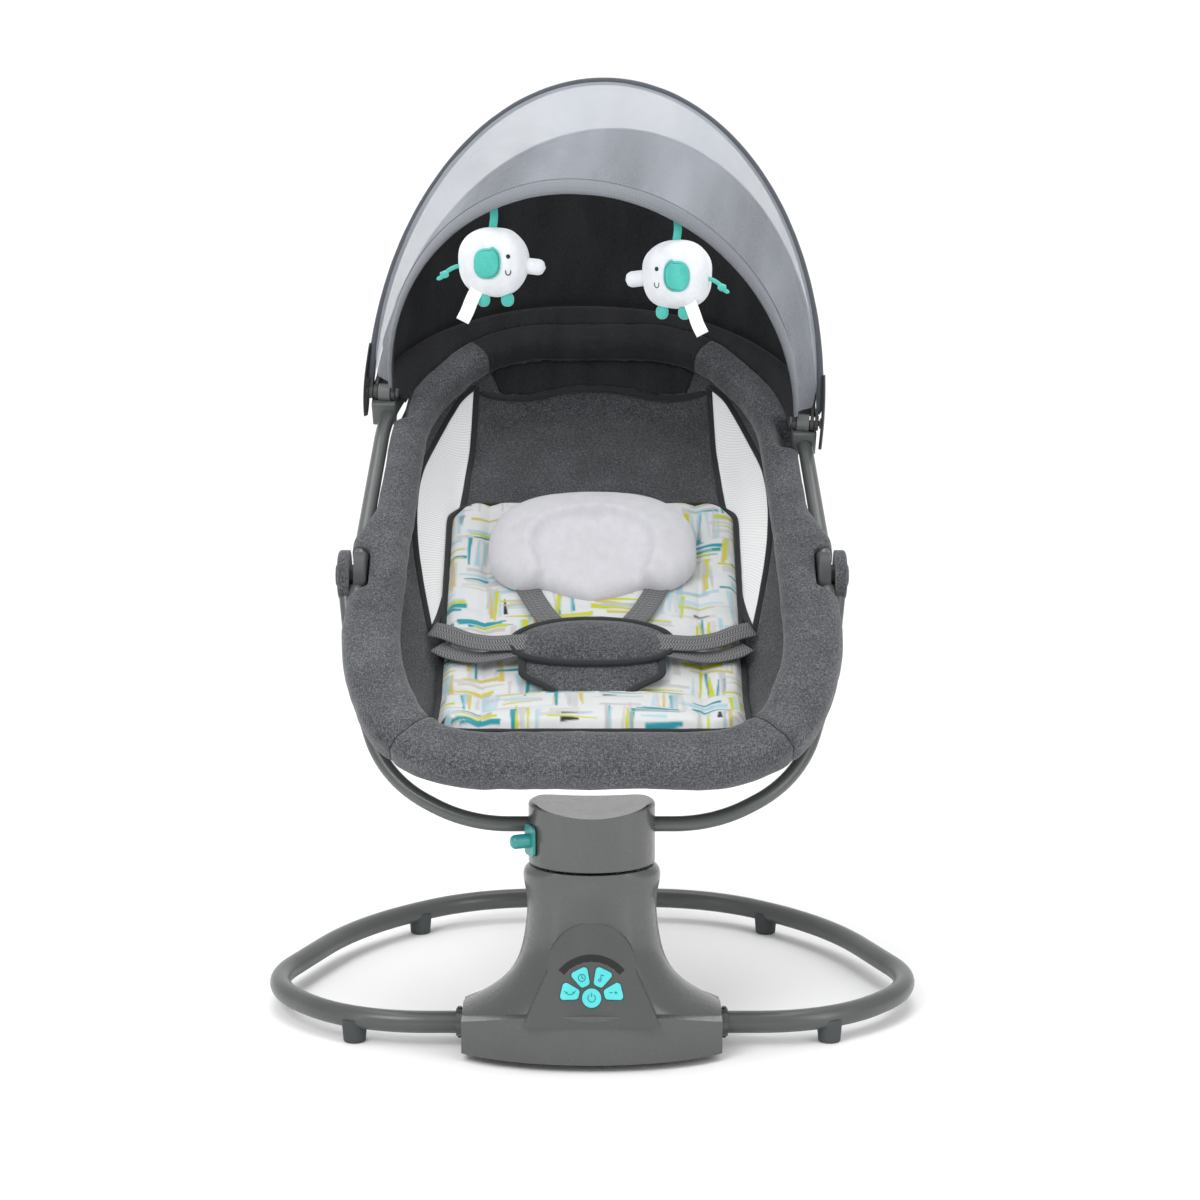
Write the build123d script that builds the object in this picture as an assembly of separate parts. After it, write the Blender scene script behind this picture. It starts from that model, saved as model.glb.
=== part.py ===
from build123d import *
import math
import os

# Baby swing on a ring base. Millimetres, +Z up, front towards -Y, floor at z = 0.
# The origin lies on the floor under the middle of the whole swing.

# ---- base ring and feet
RING_R = 11.0
RING_Z = 25.0
COLUMN_Y = -228.0
RING_END_X = 114.0
RING_RIGHT = [(242, COLUMN_Y), (340, -105), (263, 112), (135, 230)]
RING_BENDS = [160, 120, 345, 195]
FOOT_PLACES = (0.079, 0.366)
FOOT_TOP_R = 13.0
FOOT_BOTTOM_R = 11.0
FOOT_H = 24.0

# ---- lower housing
WALL = 2.6
FLANGE_X = 127.0
FLANGE_Z0 = 8.0
FLANGE_CROWN_Z = 57.0
FLANGE_SIDE_Z = 40.0
FLANGE_FRONT = 82.0
FLANGE_REAR = 62.0
FLANGE_A = 152.0
COLLAR_R = 14.0
COLLAR_L = 7.0
SEAM_Z = 187.0
SEAM_GAP = 2.4
# height, half width, front depth and rear depth of the flared column
COLUMN_SECTIONS = [
    (20, 148, 77, 60),
    (43, 131, 76, 58),
    (52, 115, 75, 56),
    (62, 98, 72, 54),
    (74, 84, 67, 52),
    (90, 73.5, 61, 50),
    (112, 67, 56, 49),
    (145, 63.3, 52.5, 48),
    (SEAM_Z, 61.5, 52, 48),
]

# ---- control panel, on a flat face that leans back
PANEL_Z = 73.0
PANEL_FRONT = 75.0
PANEL_LEAN = 18.0
ARCH_TOP_Z = 141.0
BUTTON_R = 9.3
PETAL_IN = 12.4
PETAL_OUT = 30.0
PETAL_IN_W = 9.0
PETAL_OUT_W = 19.0
PETAL_ANGLES = {"button_swing": 166, "button_timer": 116, "button_music": 64, "button_volume": 14}
WINDOW_R = 38.0
WINDOW_T = 7.0
WINDOW_SPAN = 100.0
BUTTON_PROUD = 1.8
BUTTON_DEPTH = 4.0
BUTTON_GAP = 0.35

# ---- swing head
HEAD_Z0 = SEAM_Z + SEAM_GAP
HEAD_Z1 = 250.0
HEAD_A = 62.0
HEAD_F = 52.0
HEAD_R = 48.0
HEAD_SPLIT_Y = COLUMN_Y + 0.6
ARM_Z = 226.0
LEVER_Y = 18.0
LEVER_Z = 214.0
LEVER_TRAVEL = 9.0
SHAFT_R = 10.0
BEARING_R = 17.0
BEARING_H = 12.0
FIT = 0.05

# ---- arm tube and hubs
ARM_R = 7.6
ARM_BENDS = [300, 135, 140]
HUB_Y = -62.0
HUB_Z = 447.0
TILT = 34.8
HUB_R = 26.0
HUB_IN = (230.5, 248.2)
HUB_OUT = (248.6, 260.2)
HUB_STEP_X = 243.3
HUB_STEP_R = 11.0
ARM_TOP_X = 252.6
ARM_TOP_DOWN = 14.0
HUB_PIN_R = 10.0
RECLINE_BUTTON_R = 11.0

# ---- seat frame loop, in the plane of the rim: x across, y towards the head
FRAME_R = 8.0
FRAME_SPLIT = 20.0
FRAME_HALF = [(190, -272), (242, -120), (238, 60), (226, 280), (130, 422)]
FRAME_BENDS = [120, 300, 400, 220, 150]
BOLSTER_OUT = 11.0
BOLSTER_IN = 48.0
BOLSTER_TOP = 13.0
BOLSTER_BOTTOM = -26.0
FLOOR_W = -77.0
SHELL_T = 4.0
SHELL_TAPER = 38.0
FOLD_U = -110.0
SLOPE = 27.5
SLOPE_L = 108.0

# ---- soft goods on the seat
PAD_T = 15.0
PAD_HALF = 143.0
PAD_TOP_U = 190.0
PILLOW_U = 102.0
PILLOW_HALF = 112.0
PILLOW_LONG = 84.0
PILLOW_T = 27.0
STRAP_W = 25.0
STRAP_T = 2.0
COVER_U = -54.0
COVER_HALF = 84.0
COVER_LONG = 33.0
COVER_T = 11.0
CROTCH_U = (-132.0, -89.0)

# ---- canopy: three hoops on one pivot line, skewed in the plane of the rim
PIVOT_U = 242.0
PIVOT_W = 24.0
SKEW = 6.5
BOSS_X = (222.5, 235.5)
BOSS_R = 9.0
PIN_R = 3.0
EYE_R = 8.0
STRIP_T = 3.0
STRIP_W = 10.0
EYE_T = 4.0
# lean from the vertical (back is plus), half width and height of each hoop
HOOPS = {"hoop_front": (-46.4, 219.5, 338), "hoop_middle": (0, 243.5, 346), "hoop_rear": (30, 238.5, 343)}
CLOTH_T = 1.2
CLOTH_STANDOFF = 5.0
CLOTH_START = 12.0
SKIRT_R = 208.0
SKIRT_LEAN = 62.0

# ---- toys
TOY_X = 92.0
TOY_DROP = 6.5
TOY_R = (29.0, 25.0, 29.0)
RIBBON_L = 24.0
RIBBON_W = 8.0
RIBBON_T = 1.6
RIBBON_EYE_R = 1.8

os.makedirs("parts", exist_ok=True)
PARTS = {}


def keep(name, shape):
    """Remember a finished piece under its node name."""
    PARTS[name] = shape


def block(x0, x1, y0, y1, z0, z1):
    """A box between two corners."""
    return Pos((x0 + x1) / 2, (y0 + y1) / 2, (z0 + z1) / 2) * Box(x1 - x0, y1 - y0, z1 - z0)


def rod_x(x0, x1, y, z, r):
    """A round bar along X."""
    return Pos((x0 + x1) / 2, y, z) * Rot(0, 90, 0) * Cylinder(r, abs(x1 - x0))


def tube_on(path, r):
    """A solid round bar along a path."""
    return sweep(Plane(origin=path @ 0, z_dir=path % 0) * Circle(r), path)


def mirror_x(shape):
    return mirror(shape, Plane.YZ)


# ---- frames of the seat and of the canopy
SEAT = Location((0, HUB_Y, HUB_Z), (TILT, 0, 0))
CANOPY = SEAT * Location((0, PIVOT_U, PIVOT_W), (0, 0, -SKEW)) * Location((0, 0, 0), (-TILT, 0, 0))
PANEL_SPOT = (0, COLUMN_Y - PANEL_FRONT, PANEL_Z)
PANEL = Location(PANEL_SPOT, (90 - PANEL_LEAN, 0, 0))
# the lever stands square to the oval wall of the head, its handle pointing along its own -X
LEVER_X = HEAD_A * math.sqrt(1 - (LEVER_Y / HEAD_F) ** 2)
LEVER_TURN = math.degrees(math.atan2(LEVER_Y / HEAD_F**2, LEVER_X / HEAD_A**2))
LEVER = Location((-LEVER_X, COLUMN_Y - LEVER_Y, LEVER_Z), (0, 0, LEVER_TURN))


# ---- base
def half_oval(a, front, rear, z):
    """A closed outline of two half ellipses, a wide, with its own front and rear depth."""
    front_arc = EllipticalCenterArc((0, 0), a, front, 180, arc_size=180)
    rear_arc = EllipticalCenterArc((0, 0), a, rear, 0, arc_size=180)
    return Pos(0, COLUMN_Y, z) * make_face(Curve() + [front_arc, rear_arc])


def ring_path():
    left = [(-x, y) for x, y in reversed(RING_RIGHT)]
    points = [(RING_END_X, COLUMN_Y)] + RING_RIGHT + left + [(-RING_END_X, COLUMN_Y)]
    bends = RING_BENDS + RING_BENDS[::-1]
    return Pos(0, 0, RING_Z) * FilletPolyline(*points, radius=bends)


def column(shrink):
    """The flared column, or its hollow when shrink is the wall."""
    faces = [half_oval(a - shrink, f - shrink, r - shrink, z) for z, a, f, r in COLUMN_SECTIONS]
    return loft(faces)


def flange(shrink):
    """The wide foot of the column, with flat ends and a crowned top."""
    rise = FLANGE_CROWN_Z - FLANGE_SIDE_Z
    crown_r = (FLANGE_X**2 + rise**2) / (2 * rise)
    plan = half_oval(FLANGE_A - shrink, FLANGE_FRONT - shrink, FLANGE_REAR - shrink, FLANGE_Z0)
    body = extrude(plan, FLANGE_CROWN_Z - FLANGE_Z0)
    crown_z = FLANGE_CROWN_Z - shrink - crown_r
    crown = Pos(0, COLUMN_Y, crown_z) * Rot(90, 0, 0) * Cylinder(crown_r, 4 * FLANGE_FRONT)
    reach = FLANGE_X - shrink
    return body & crown & block(-reach, reach, -500, 200, 0, 100)


def arch_boss(shrink):
    """The raised arch that carries the flat control panel."""
    top = ARCH_TOP_Z - shrink
    w = 42 - shrink
    foot = 66 - shrink
    dome = ThreePointArc((-w, 96), (0, top), (w, 96))
    left_edge = Line((-foot, 46), (-w, 96))
    right_edge = Line((w, 96), (foot, 46))
    outline = make_face(Curve() + [dome, right_edge, Line((foot, 46), (-foot, 46)), left_edge])
    prism = extrude(Plane.XZ * outline, 100)
    prism = Pos(0, COLUMN_Y, 0) * prism
    behind = PANEL * Pos(0, 0, -200 - shrink) * Box(400, 400, 400)
    return prism & behind


def limit_x(shape, reach):
    return shape & block(-reach, reach, -500, 300, 0, 400)


def housing_solid(shrink):
    body = limit_x(column(shrink), FLANGE_X - shrink)
    return body + flange(shrink) + arch_boss(shrink)


def petal_face(grow=0.0):
    """One petal button outline, pointing along +X, with rounded corners."""
    a, b = PETAL_IN - grow, PETAL_OUT + grow
    w0, w1 = PETAL_IN_W / 2 + grow, PETAL_OUT_W / 2 + grow
    face = Polygon((a, -w0), (b, -w1), (b, w1), (a, w0), align=None)
    return fillet(face.vertices(), 3.5)


def window_face(grow=0.0):
    """The arc-shaped display window."""
    start = 90 - WINDOW_SPAN / 2 - grow
    span = WINDOW_SPAN + 2 * grow
    r0, r1 = WINDOW_R - WINDOW_T / 2 - grow, WINDOW_R + WINDOW_T / 2 + grow
    outer = CenterArc((0, 0), r1, start, span)
    inner = CenterArc((0, 0), r0, start, span)
    return make_face(Curve() + [outer, inner, Line(outer @ 0, inner @ 0), Line(outer @ 1, inner @ 1)])


def button_outlines(grow=0.0):
    """Each button's outline on the panel, by name."""
    faces = {"button_power": Circle(BUTTON_R + grow)}
    for name, angle in PETAL_ANGLES.items():
        faces[name] = Rot(0, 0, angle) * petal_face(grow)
    return faces


def make_base():
    path = ring_path()
    ring = tube_on(path, RING_R)
    keep("base_ring", ring)
    for side, flip in (("right", False), ("left", True)):
        for place, at in zip(("front", "rear"), FOOT_PLACES):
            spot = path @ (1 - at if flip else at)
            foot = Pos(spot.X, spot.Y, FOOT_H / 2) * Cone(FOOT_BOTTOM_R, FOOT_TOP_R, FOOT_H)
            keep(f"foot_{place}_{side}", fillet(foot.edges().sort_by(Axis.Z)[0], 2) - ring)

    collars = [rod_x(s * (FLANGE_X - 4), s * (FLANGE_X + COLLAR_L), COLUMN_Y, RING_Z, COLLAR_R) for s in (-1, 1)]
    outer = housing_solid(0) + collars[0] + collars[1]
    hollow = housing_solid(WALL) & block(-300, 300, -500, 300, FLANGE_Z0 - 1, SEAM_Z - WALL)
    hollow_foot = Pos(0, 0, -2) * extrude(
        half_oval(FLANGE_A - WALL, FLANGE_FRONT - WALL, FLANGE_REAR - WALL, FLANGE_Z0), 8
    )
    shell = outer - hollow - limit_x(hollow_foot, FLANGE_X - WALL)
    shell -= rod_x(-200, 200, COLUMN_Y, RING_Z, RING_R)
    shell -= Pos(0, COLUMN_Y, SEAM_Z) * Cylinder(BEARING_R, 12)
    for face in button_outlines(BUTTON_GAP).values():
        shell -= PANEL * Pos(0, 0, -8) * extrude(face, 16)
    shell -= PANEL * Pos(0, 0, -8) * extrude(window_face(), 16)
    inlet = Pos(0, COLUMN_Y + FLANGE_REAR - WALL / 2, 24) * Rot(90, 0, 0) * Cylinder(5.5, 12)
    shell -= inlet
    front = shell & block(-300, 300, -500, COLUMN_Y, 0, 300)
    rear = shell & block(-300, 300, COLUMN_Y, 300, 0, 300)
    keep("base_housing_front", front)
    keep("base_housing_rear", rear)

    plate_in = WALL + 0.3
    plate = extrude(half_oval(FLANGE_A - plate_in, FLANGE_FRONT - plate_in, FLANGE_REAR - plate_in, FLANGE_Z0), 2.5)
    keep("base_bottom_plate", limit_x(plate, FLANGE_X - plate_in))

    window = PANEL * Pos(0, 0, -2.5) * extrude(window_face(), 2.7)
    keep("display_window", window)
    for name, face in button_outlines().items():
        cap = extrude(face, BUTTON_DEPTH + BUTTON_PROUD)
        cap = fillet(cap.faces().sort_by(Axis.Z)[-1].edges(), 0.9)
        keep(name, PANEL * Pos(0, 0, -BUTTON_DEPTH) * cap)
    keep("control_board", PANEL * Pos(0, 14, -9.5) * Box(70, 56, 1.6))
    speaker = Pos(0, COLUMN_Y + 22, 140) * Rot(90, 0, 0) * (Cone(14, 20, 12) + Pos(0, 0, -9) * Cylinder(12, 6))
    keep("speaker", speaker)
    keep("power_inlet", inlet - Pos(0, COLUMN_Y + FLANGE_REAR, 24) * Rot(90, 0, 0) * Cylinder(2.8, 10))

    screws = Part()
    for s in (-1, 1):
        for up in (-1, 1):
            z = RING_Z + up * (COLLAR_R + 0.8)
            screws += Pos(s * (FLANGE_X + COLLAR_L / 2), COLUMN_Y, z) * Cylinder(2.4, 1.6)
    keep("collar_screws", screws)


def make_drive():
    """The gear motor in the column, the two bearings and the upright shaft."""
    gearbox = block(-30, 30, COLUMN_Y - 24, COLUMN_Y + 24, 62, 88)
    keep("gearbox", fillet(gearbox.edges().filter_by(Axis.Z), 6))
    motor = Pos(0, COLUMN_Y, 42) * Cylinder(18, 39.8)
    keep("swing_motor", motor - Pos(0, COLUMN_Y, 22) * Cylinder(14, 2))
    bearings = Part()
    for z in (100, SEAM_Z - 6.2):
        ring = Cylinder(BEARING_R - 0.02, BEARING_H) - Cylinder(SHAFT_R + FIT, BEARING_H)
        bearings += Pos(0, COLUMN_Y, z) * ring
    keep("shaft_bearings", bearings)
    cup = Pos(0, COLUMN_Y, 100) * (Cylinder(BEARING_R + 4, BEARING_H + 4) - Cylinder(BEARING_R, BEARING_H + 4))
    ribs = block(-60, -BEARING_R - 3.5, COLUMN_Y - 2, COLUMN_Y + 2, 92, 108)
    keep("bearing_bracket", cup + ribs + mirror_x(ribs))
    keep("swing_shaft", Pos(0, COLUMN_Y, (89 + 214) / 2) * Cylinder(SHAFT_R, 214 - 89))


# ---- swing head, arm and hubs
def head_solid(shrink):
    plan = half_oval(HEAD_A - shrink, HEAD_F - shrink, HEAD_R - shrink, HEAD_Z0 + shrink)
    body = extrude(plan, HEAD_Z1 - HEAD_Z0 - 2 * shrink)
    if shrink == 0:
        body = fillet(body.faces().sort_by(Axis.Z)[-1].edges(), 4)
        body = fillet(body.faces().sort_by(Axis.Z)[0].edges(), 1.5)
    saddle_r = 210.0
    saddle = Pos(0, COLUMN_Y, HEAD_Z1 - 7 - shrink + saddle_r) * Rot(90, 0, 0) * Cylinder(saddle_r, 200)
    return body - saddle


def arm_points():
    """The arm's route on the right, from the hub down to the head."""
    top = (ARM_TOP_X, HUB_Y - ARM_TOP_DOWN / 2, HUB_Z - ARM_TOP_DOWN)
    return [top, (240, -118, 348), (206, -190, 262), (120, COLUMN_Y, ARM_Z)]


def make_head():
    right = arm_points()
    left = [(-x, y, z) for x, y, z in reversed(right)]
    arm_path = FilletPolyline(*(right + left), radius=ARM_BENDS + ARM_BENDS[::-1])
    arm = tube_on(arm_path, ARM_R)
    keep("arm_tube", arm)

    shell = head_solid(0) - head_solid(WALL)
    shell -= rod_x(-120, 120, COLUMN_Y, ARM_Z, ARM_R)
    shell -= Pos(0, COLUMN_Y, HEAD_Z0) * Cylinder(SHAFT_R + 0.1, 12)
    shell -= LEVER * block(-6, 6, -4, 4, -6.5 - LEVER_TRAVEL, 6.5)
    keep("head_housing_front", shell & block(-300, 300, -500, HEAD_SPLIT_Y, 0, 400))
    keep("head_housing_rear", shell & block(-300, 300, HEAD_SPLIT_Y, 300, 0, 400))

    block_clamp = block(-34, 34, COLUMN_Y - 15, COLUMN_Y + 15, 212, 238)
    block_clamp = fillet(block_clamp.edges().filter_by(Axis.X), 3)
    block_clamp -= rod_x(-80, 80, COLUMN_Y, ARM_Z, ARM_R)
    block_clamp -= Pos(0, COLUMN_Y, 212) * Cylinder(SHAFT_R, 4)
    keep("arm_clamp", block_clamp)

    # the lock lever: a plate outside the wall, a stem through the slot and a rounded handle
    plate = block(-3.2, -0.8, -11, 11, -15, 15)
    plate = fillet(plate.edges().filter_by(Axis.X), 5)
    handle = rod_x(-22, -3, 0, 0, 7)
    handle = fillet(handle.faces().sort_by(Axis.X)[0].edges(), 5)
    stem = block(-1, 6.5, -3.5, 3.5, -6, 6)
    inner = block(4.2, 6.5, -6.5, 6.5, -8, 8)
    keep("lock_lever", LEVER * (plate + handle + stem + inner))

    for side, s in (("right", 1), ("left", -1)):
        cover = rod_x(HUB_OUT[0], HUB_OUT[1], HUB_Y, HUB_Z, HUB_R)
        cover = fillet(cover.faces().sort_by(Axis.X)[-1].edges(), 4)
        cover -= rod_x(HUB_OUT[0] - 1, HUB_OUT[0] + 3.2, HUB_Y, HUB_Z, HUB_PIN_R + FIT)
        cover -= rod_x(HUB_OUT[0] + 5, HUB_OUT[1] + 1, HUB_Y, HUB_Z, RECLINE_BUTTON_R + 0.3)
        if s < 0:
            cover = mirror_x(cover)
        keep(f"hub_cover_{side}", cover - arm)
        cap = rod_x(HUB_OUT[0] + 8, HUB_OUT[1] + 2.6, HUB_Y, HUB_Z, RECLINE_BUTTON_R)
        cap = fillet(cap.faces().sort_by(Axis.X)[-1].edges(), 1.5)
        keep(f"recline_button_{side}", cap if s > 0 else mirror_x(cap))


# ---- seat
def frame_points():
    left = [(-x, y) for x, y in reversed(FRAME_HALF)]
    return FRAME_HALF + left


def frame_path():
    bends = FRAME_BENDS + FRAME_BENDS[::-1]
    return FilletPolyline(*frame_points(), radius=bends, close=True)


def rim_face(grow):
    """The face inside the frame loop, grown outwards or shrunk."""
    face = make_face(frame_path())
    return offset(face, grow, kind=Kind.ARC) if grow > 0 else offset(face, grow)


def below_slope(lift):
    """Everything under the sloping front of the seat floor, raised by lift."""
    wedge = Pos(0, -400, -300) * Box(800, 800, 600)
    wedge = Rot(-SLOPE, 0, 0) * wedge
    return Pos(0, FOLD_U, FLOOR_W - SHELL_T + lift) * wedge


def make_seat():
    loop = tube_on(frame_path(), FRAME_R)
    foot_half = loop & block(-400, 400, -500, -FRAME_SPLIT, -50, 50)
    head_half = loop & block(-400, 400, FRAME_SPLIT, 600, -50, 50)
    keep("seat_frame_foot", SEAT * foot_half)
    keep("seat_frame_head", SEAT * head_half)

    for side, s in (("right", 1), ("left", -1)):
        disc = rod_x(HUB_IN[0], HUB_STEP_X, 0, 0, HUB_R - 2)
        disc = fillet(disc.faces().sort_by(Axis.X)[0].edges(), 3)
        disc += rod_x(HUB_STEP_X - 1, HUB_IN[1], 0, 0, HUB_STEP_R)
        disc += rod_x(HUB_IN[1] - 1, HUB_OUT[0] + 2.7, 0, 0, HUB_PIN_R)
        if s < 0:
            disc = mirror_x(disc)
        keep(f"seat_hub_{side}", SEAT * (disc - foot_half - head_half))

    bolster = extrude(rim_face(BOLSTER_OUT) - rim_face(-BOLSTER_IN), BOLSTER_TOP - BOLSTER_BOTTOM)
    bolster = fillet(bolster.edges().group_by(Axis.Z)[-1], 8)
    bolster = fillet(bolster.edges().group_by(Axis.Z)[0], 6)
    bolster = Pos(0, 0, BOLSTER_BOTTOM) * bolster
    bolster -= tube_on(frame_path(), FRAME_R + 0.05)
    for s in (-1, 1):
        bolster -= rod_x(s * 228, s * 280, 0, 0, HUB_R + 3)
        bolster -= block(*sorted((s * 237.5, s * 280)), -72, 0, -40, -5)
        bolster -= clip_space(s)
    keep("rim_bolster", SEAT * bolster)

    top = BOLSTER_BOTTOM - 0.3
    outer_rim = rim_face(-(BOLSTER_IN - 6))
    inner_rim = rim_face(-(BOLSTER_IN - 6 + SHELL_T + 1))
    outer = Pos(0, 0, top) * extrude(outer_rim, FLOOR_W - SHELL_T - top, taper=SHELL_TAPER)
    inner = Pos(0, 0, top) * extrude(inner_rim, FLOOR_W - top, taper=SHELL_TAPER)
    outer -= below_slope(0)
    inner -= below_slope(SHELL_T)
    shell = outer - inner
    for side, s in (("right", 1), ("left", -1)):
        x0, x1 = (120, 240) if s > 0 else (-240, -120)
        lens = Pos((x0 + x1) / 2, 205, -50) * Rot(0, 90, 0) * extrude(Ellipse(14, 105), 60, both=True)
        small = Pos((x0 + x1) / 2, 205, -50) * Rot(0, 90, 0) * extrude(Ellipse(13.8, 104.8), 60, both=True)
        keep(f"side_mesh_{side}", SEAT * (shell & small))
        shell -= lens
    keep("seat_shell", SEAT * shell)


def clip_space(s):
    """Room in the bolster for one canopy clip."""
    u = PIVOT_U - s * math.sin(math.radians(SKEW)) * BOSS_X[0]
    return block(*sorted((s * 208, s * 260)), u - 15, u + 15, -15, 30)


def make_soft():
    lift = 0.4
    slope = math.radians(SLOPE)
    out = (-math.cos(slope) * SLOPE_L, math.sin(slope) * SLOPE_L)
    fold = (FOLD_U, FLOOR_W + lift)
    # the pad's upper fold corner sits on the line that halves the angle
    nip = PAD_T * math.tan(slope / 2)
    low = [(PAD_TOP_U, fold[1]), fold, (fold[0] + out[0], fold[1] + out[1])]
    rise = (PAD_T * math.sin(slope), PAD_T * math.cos(slope))
    high = [(low[2][0] + rise[0], low[2][1] + rise[1]), (fold[0] + nip, fold[1] + PAD_T), (PAD_TOP_U, fold[1] + PAD_T)]
    profile = make_face(Polyline(*(low + high), close=True))
    pad = extrude(Plane.YZ * profile, PAD_HALF, both=True)
    keep("seat_pad", SEAT * pad)

    top = fold[1] + PAD_T + lift
    over = top + STRAP_T + lift
    pillow = extrude(Ellipse(PILLOW_HALF, PILLOW_LONG), PILLOW_T)
    pillow -= Pos(0, -PILLOW_LONG, 0) * extrude(Ellipse(26, 22), 2 * PILLOW_T, both=True)
    keep("head_pillow", SEAT * Pos(0, PILLOW_U, over) * pillow)

    straps = Part()
    for s in (-1, 1):
        straps += Pos(s * 46, 4, top + STRAP_T / 2) * Rot(0, 0, s * -38) * Box(STRAP_W, 86, STRAP_T)
    keep("shoulder_straps", SEAT * straps)
    waist = Part()
    for s in (-1, 1):
        waist += Pos(s * 96, -57, top + STRAP_T / 2) * Rot(0, 0, s * 12) * Box(78, STRAP_W, STRAP_T)
    keep("waist_straps", SEAT * waist)
    buckle = Pos(0, COVER_U - 8, over + 5) * Box(56, 40, 10)
    keep("harness_buckle", SEAT * fillet(buckle.edges().filter_by(Axis.Z), 8))
    cover = Pos(0, COVER_U, over + 10.4) * extrude(Ellipse(COVER_HALF, COVER_LONG), COVER_T)
    keep("buckle_cover", SEAT * cover)
    u0, u1 = CROTCH_U
    crotch = make_face(Polyline((-36, u0), (36, u0), (66, u1), (-66, u1), close=True))
    keep("crotch_pad", SEAT * Pos(0, 0, -45) * extrude(fillet(crotch.vertices(), 8), 8))


# ---- canopy
def lean(angle):
    """Turns the hoop plane back from the vertical about the pivot line."""
    return CANOPY * Rot(-angle, 0, 0)


def hoop_band(a, h, t, start=0.0):
    """Half an elliptical band in the XZ plane, t thick about its centre line."""
    r = t / 2
    outer = EllipticalCenterArc((0, 0), a + r, h + r, start, arc_size=180 - 2 * start)
    inner = EllipticalCenterArc((0, 0), a - r, h - r, start, arc_size=180 - 2 * start)
    ends = [Line(outer @ 0, inner @ 0), Line(outer @ 1, inner @ 1)]
    return Rot(90, 0, 0) * make_face(Curve() + [outer, inner] + ends)


def make_hoop(name, angle, a, h):
    strip = extrude(hoop_band(a, h, STRIP_T), STRIP_W / 2, both=True)
    eyes = rod_x(a - EYE_T / 2, a + EYE_T / 2, 0, 0, EYE_R)
    solid = strip + eyes + mirror_x(eyes)
    solid -= rod_x(-300, 300, 0, 0, PIN_R + FIT)
    keep(name, lean(angle) * solid)


def cloth_between(angle0, a0, h0, angle1, a1, h1):
    """A thin sheet stretched straight from one hoop to the next."""
    grow = CLOTH_STANDOFF
    first = lean(angle0) * hoop_band(a0 + grow, h0 + grow, CLOTH_T, CLOTH_START)
    second = lean(angle1) * hoop_band(a1 + grow, h1 + grow, CLOTH_T, CLOTH_START)
    return loft([first, second], ruled=True)


def make_canopy():
    for name, (angle, a, h) in HOOPS.items():
        make_hoop(name, angle, a, h)
    front, middle, rear = (HOOPS[n] for n in ("hoop_front", "hoop_middle", "hoop_rear"))
    gap = 0.6
    keep("canopy_mesh_front", cloth_between(front[0], *front[1:], middle[0] - gap, *middle[1:]))
    keep("canopy_mesh_rear", cloth_between(middle[0] + gap, *middle[1:], rear[0] - gap, *rear[1:]))
    keep("canopy_skirt", cloth_between(rear[0] + gap, *rear[1:], SKIRT_LEAN, rear[1], SKIRT_R))

    for side, s in (("right", 1), ("left", -1)):
        boss = CANOPY * rod_x(s * BOSS_X[0], s * BOSS_X[1], 0, 0, BOSS_R)
        u = PIVOT_U - s * math.sin(math.radians(SKEW)) * BOSS_X[0]
        v = s * (sum(BOSS_X) / 2)
        clamp = SEAT * block(v - 13, v + 13, u - 12, u + 12, -13, 17)
        clip = boss + fillet(clamp.edges(), 2)
        clip -= CANOPY * rod_x(-300, 300, 0, 0, PIN_R)
        clip -= SEAT * tube_on(frame_path(), FRAME_R)
        clip -= CANOPY * rod_x(s * 215, s * BOSS_X[0], 0, 0, EYE_R + 1.5)
        clip -= CANOPY * rod_x(s * BOSS_X[1], s * 260, 0, 0, EYE_R + 1.5)
        keep(f"canopy_clip_{side}", clip)
        head = rod_x(s * 246.5, s * 249, 0, 0, 5.5)
        pin = rod_x(s * 216.5, s * 247, 0, 0, PIN_R) + head + rod_x(s * 214.5, s * 217, 0, 0, 5)
        keep(f"canopy_pin_{side}", CANOPY * pin)


def toy_anchor(s):
    """Where a toy's ribbon meets the front hoop, in the world frame."""
    angle, a, h = HOOPS["hoop_front"]
    r = (h - STRIP_T / 2) * math.sqrt(1 - (TOY_X / a) ** 2) - TOY_DROP
    spot = lean(angle) * Pos(s * TOY_X, 0, r)
    return spot.position


def make_toys():
    for side, s in (("right", 1), ("left", -1)):
        at = toy_anchor(s)
        ribbon = Pos(at.X, at.Y, at.Z - RIBBON_L / 2 - 2) * Box(RIBBON_W, RIBBON_T, RIBBON_L)
        plush = Pos(at.X, at.Y, at.Z - RIBBON_L - TOY_R[2]) * scale(Sphere(1), TOY_R)
        loop = Pos(at.X, at.Y, at.Z) * Rot(0, 90, 0) * Cylinder(RIBBON_EYE_R, RIBBON_W)
        keep(f"toy_{side}", ribbon + plush + loop)


make_base()
make_drive()
make_head()
make_seat()
make_soft()
make_canopy()
make_toys()

for node, solid in PARTS.items():
    export_step(solid, f"parts/{node}.step")
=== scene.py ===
import math
import random

import bpy
from mathutils import Matrix, Vector, noise


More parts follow.
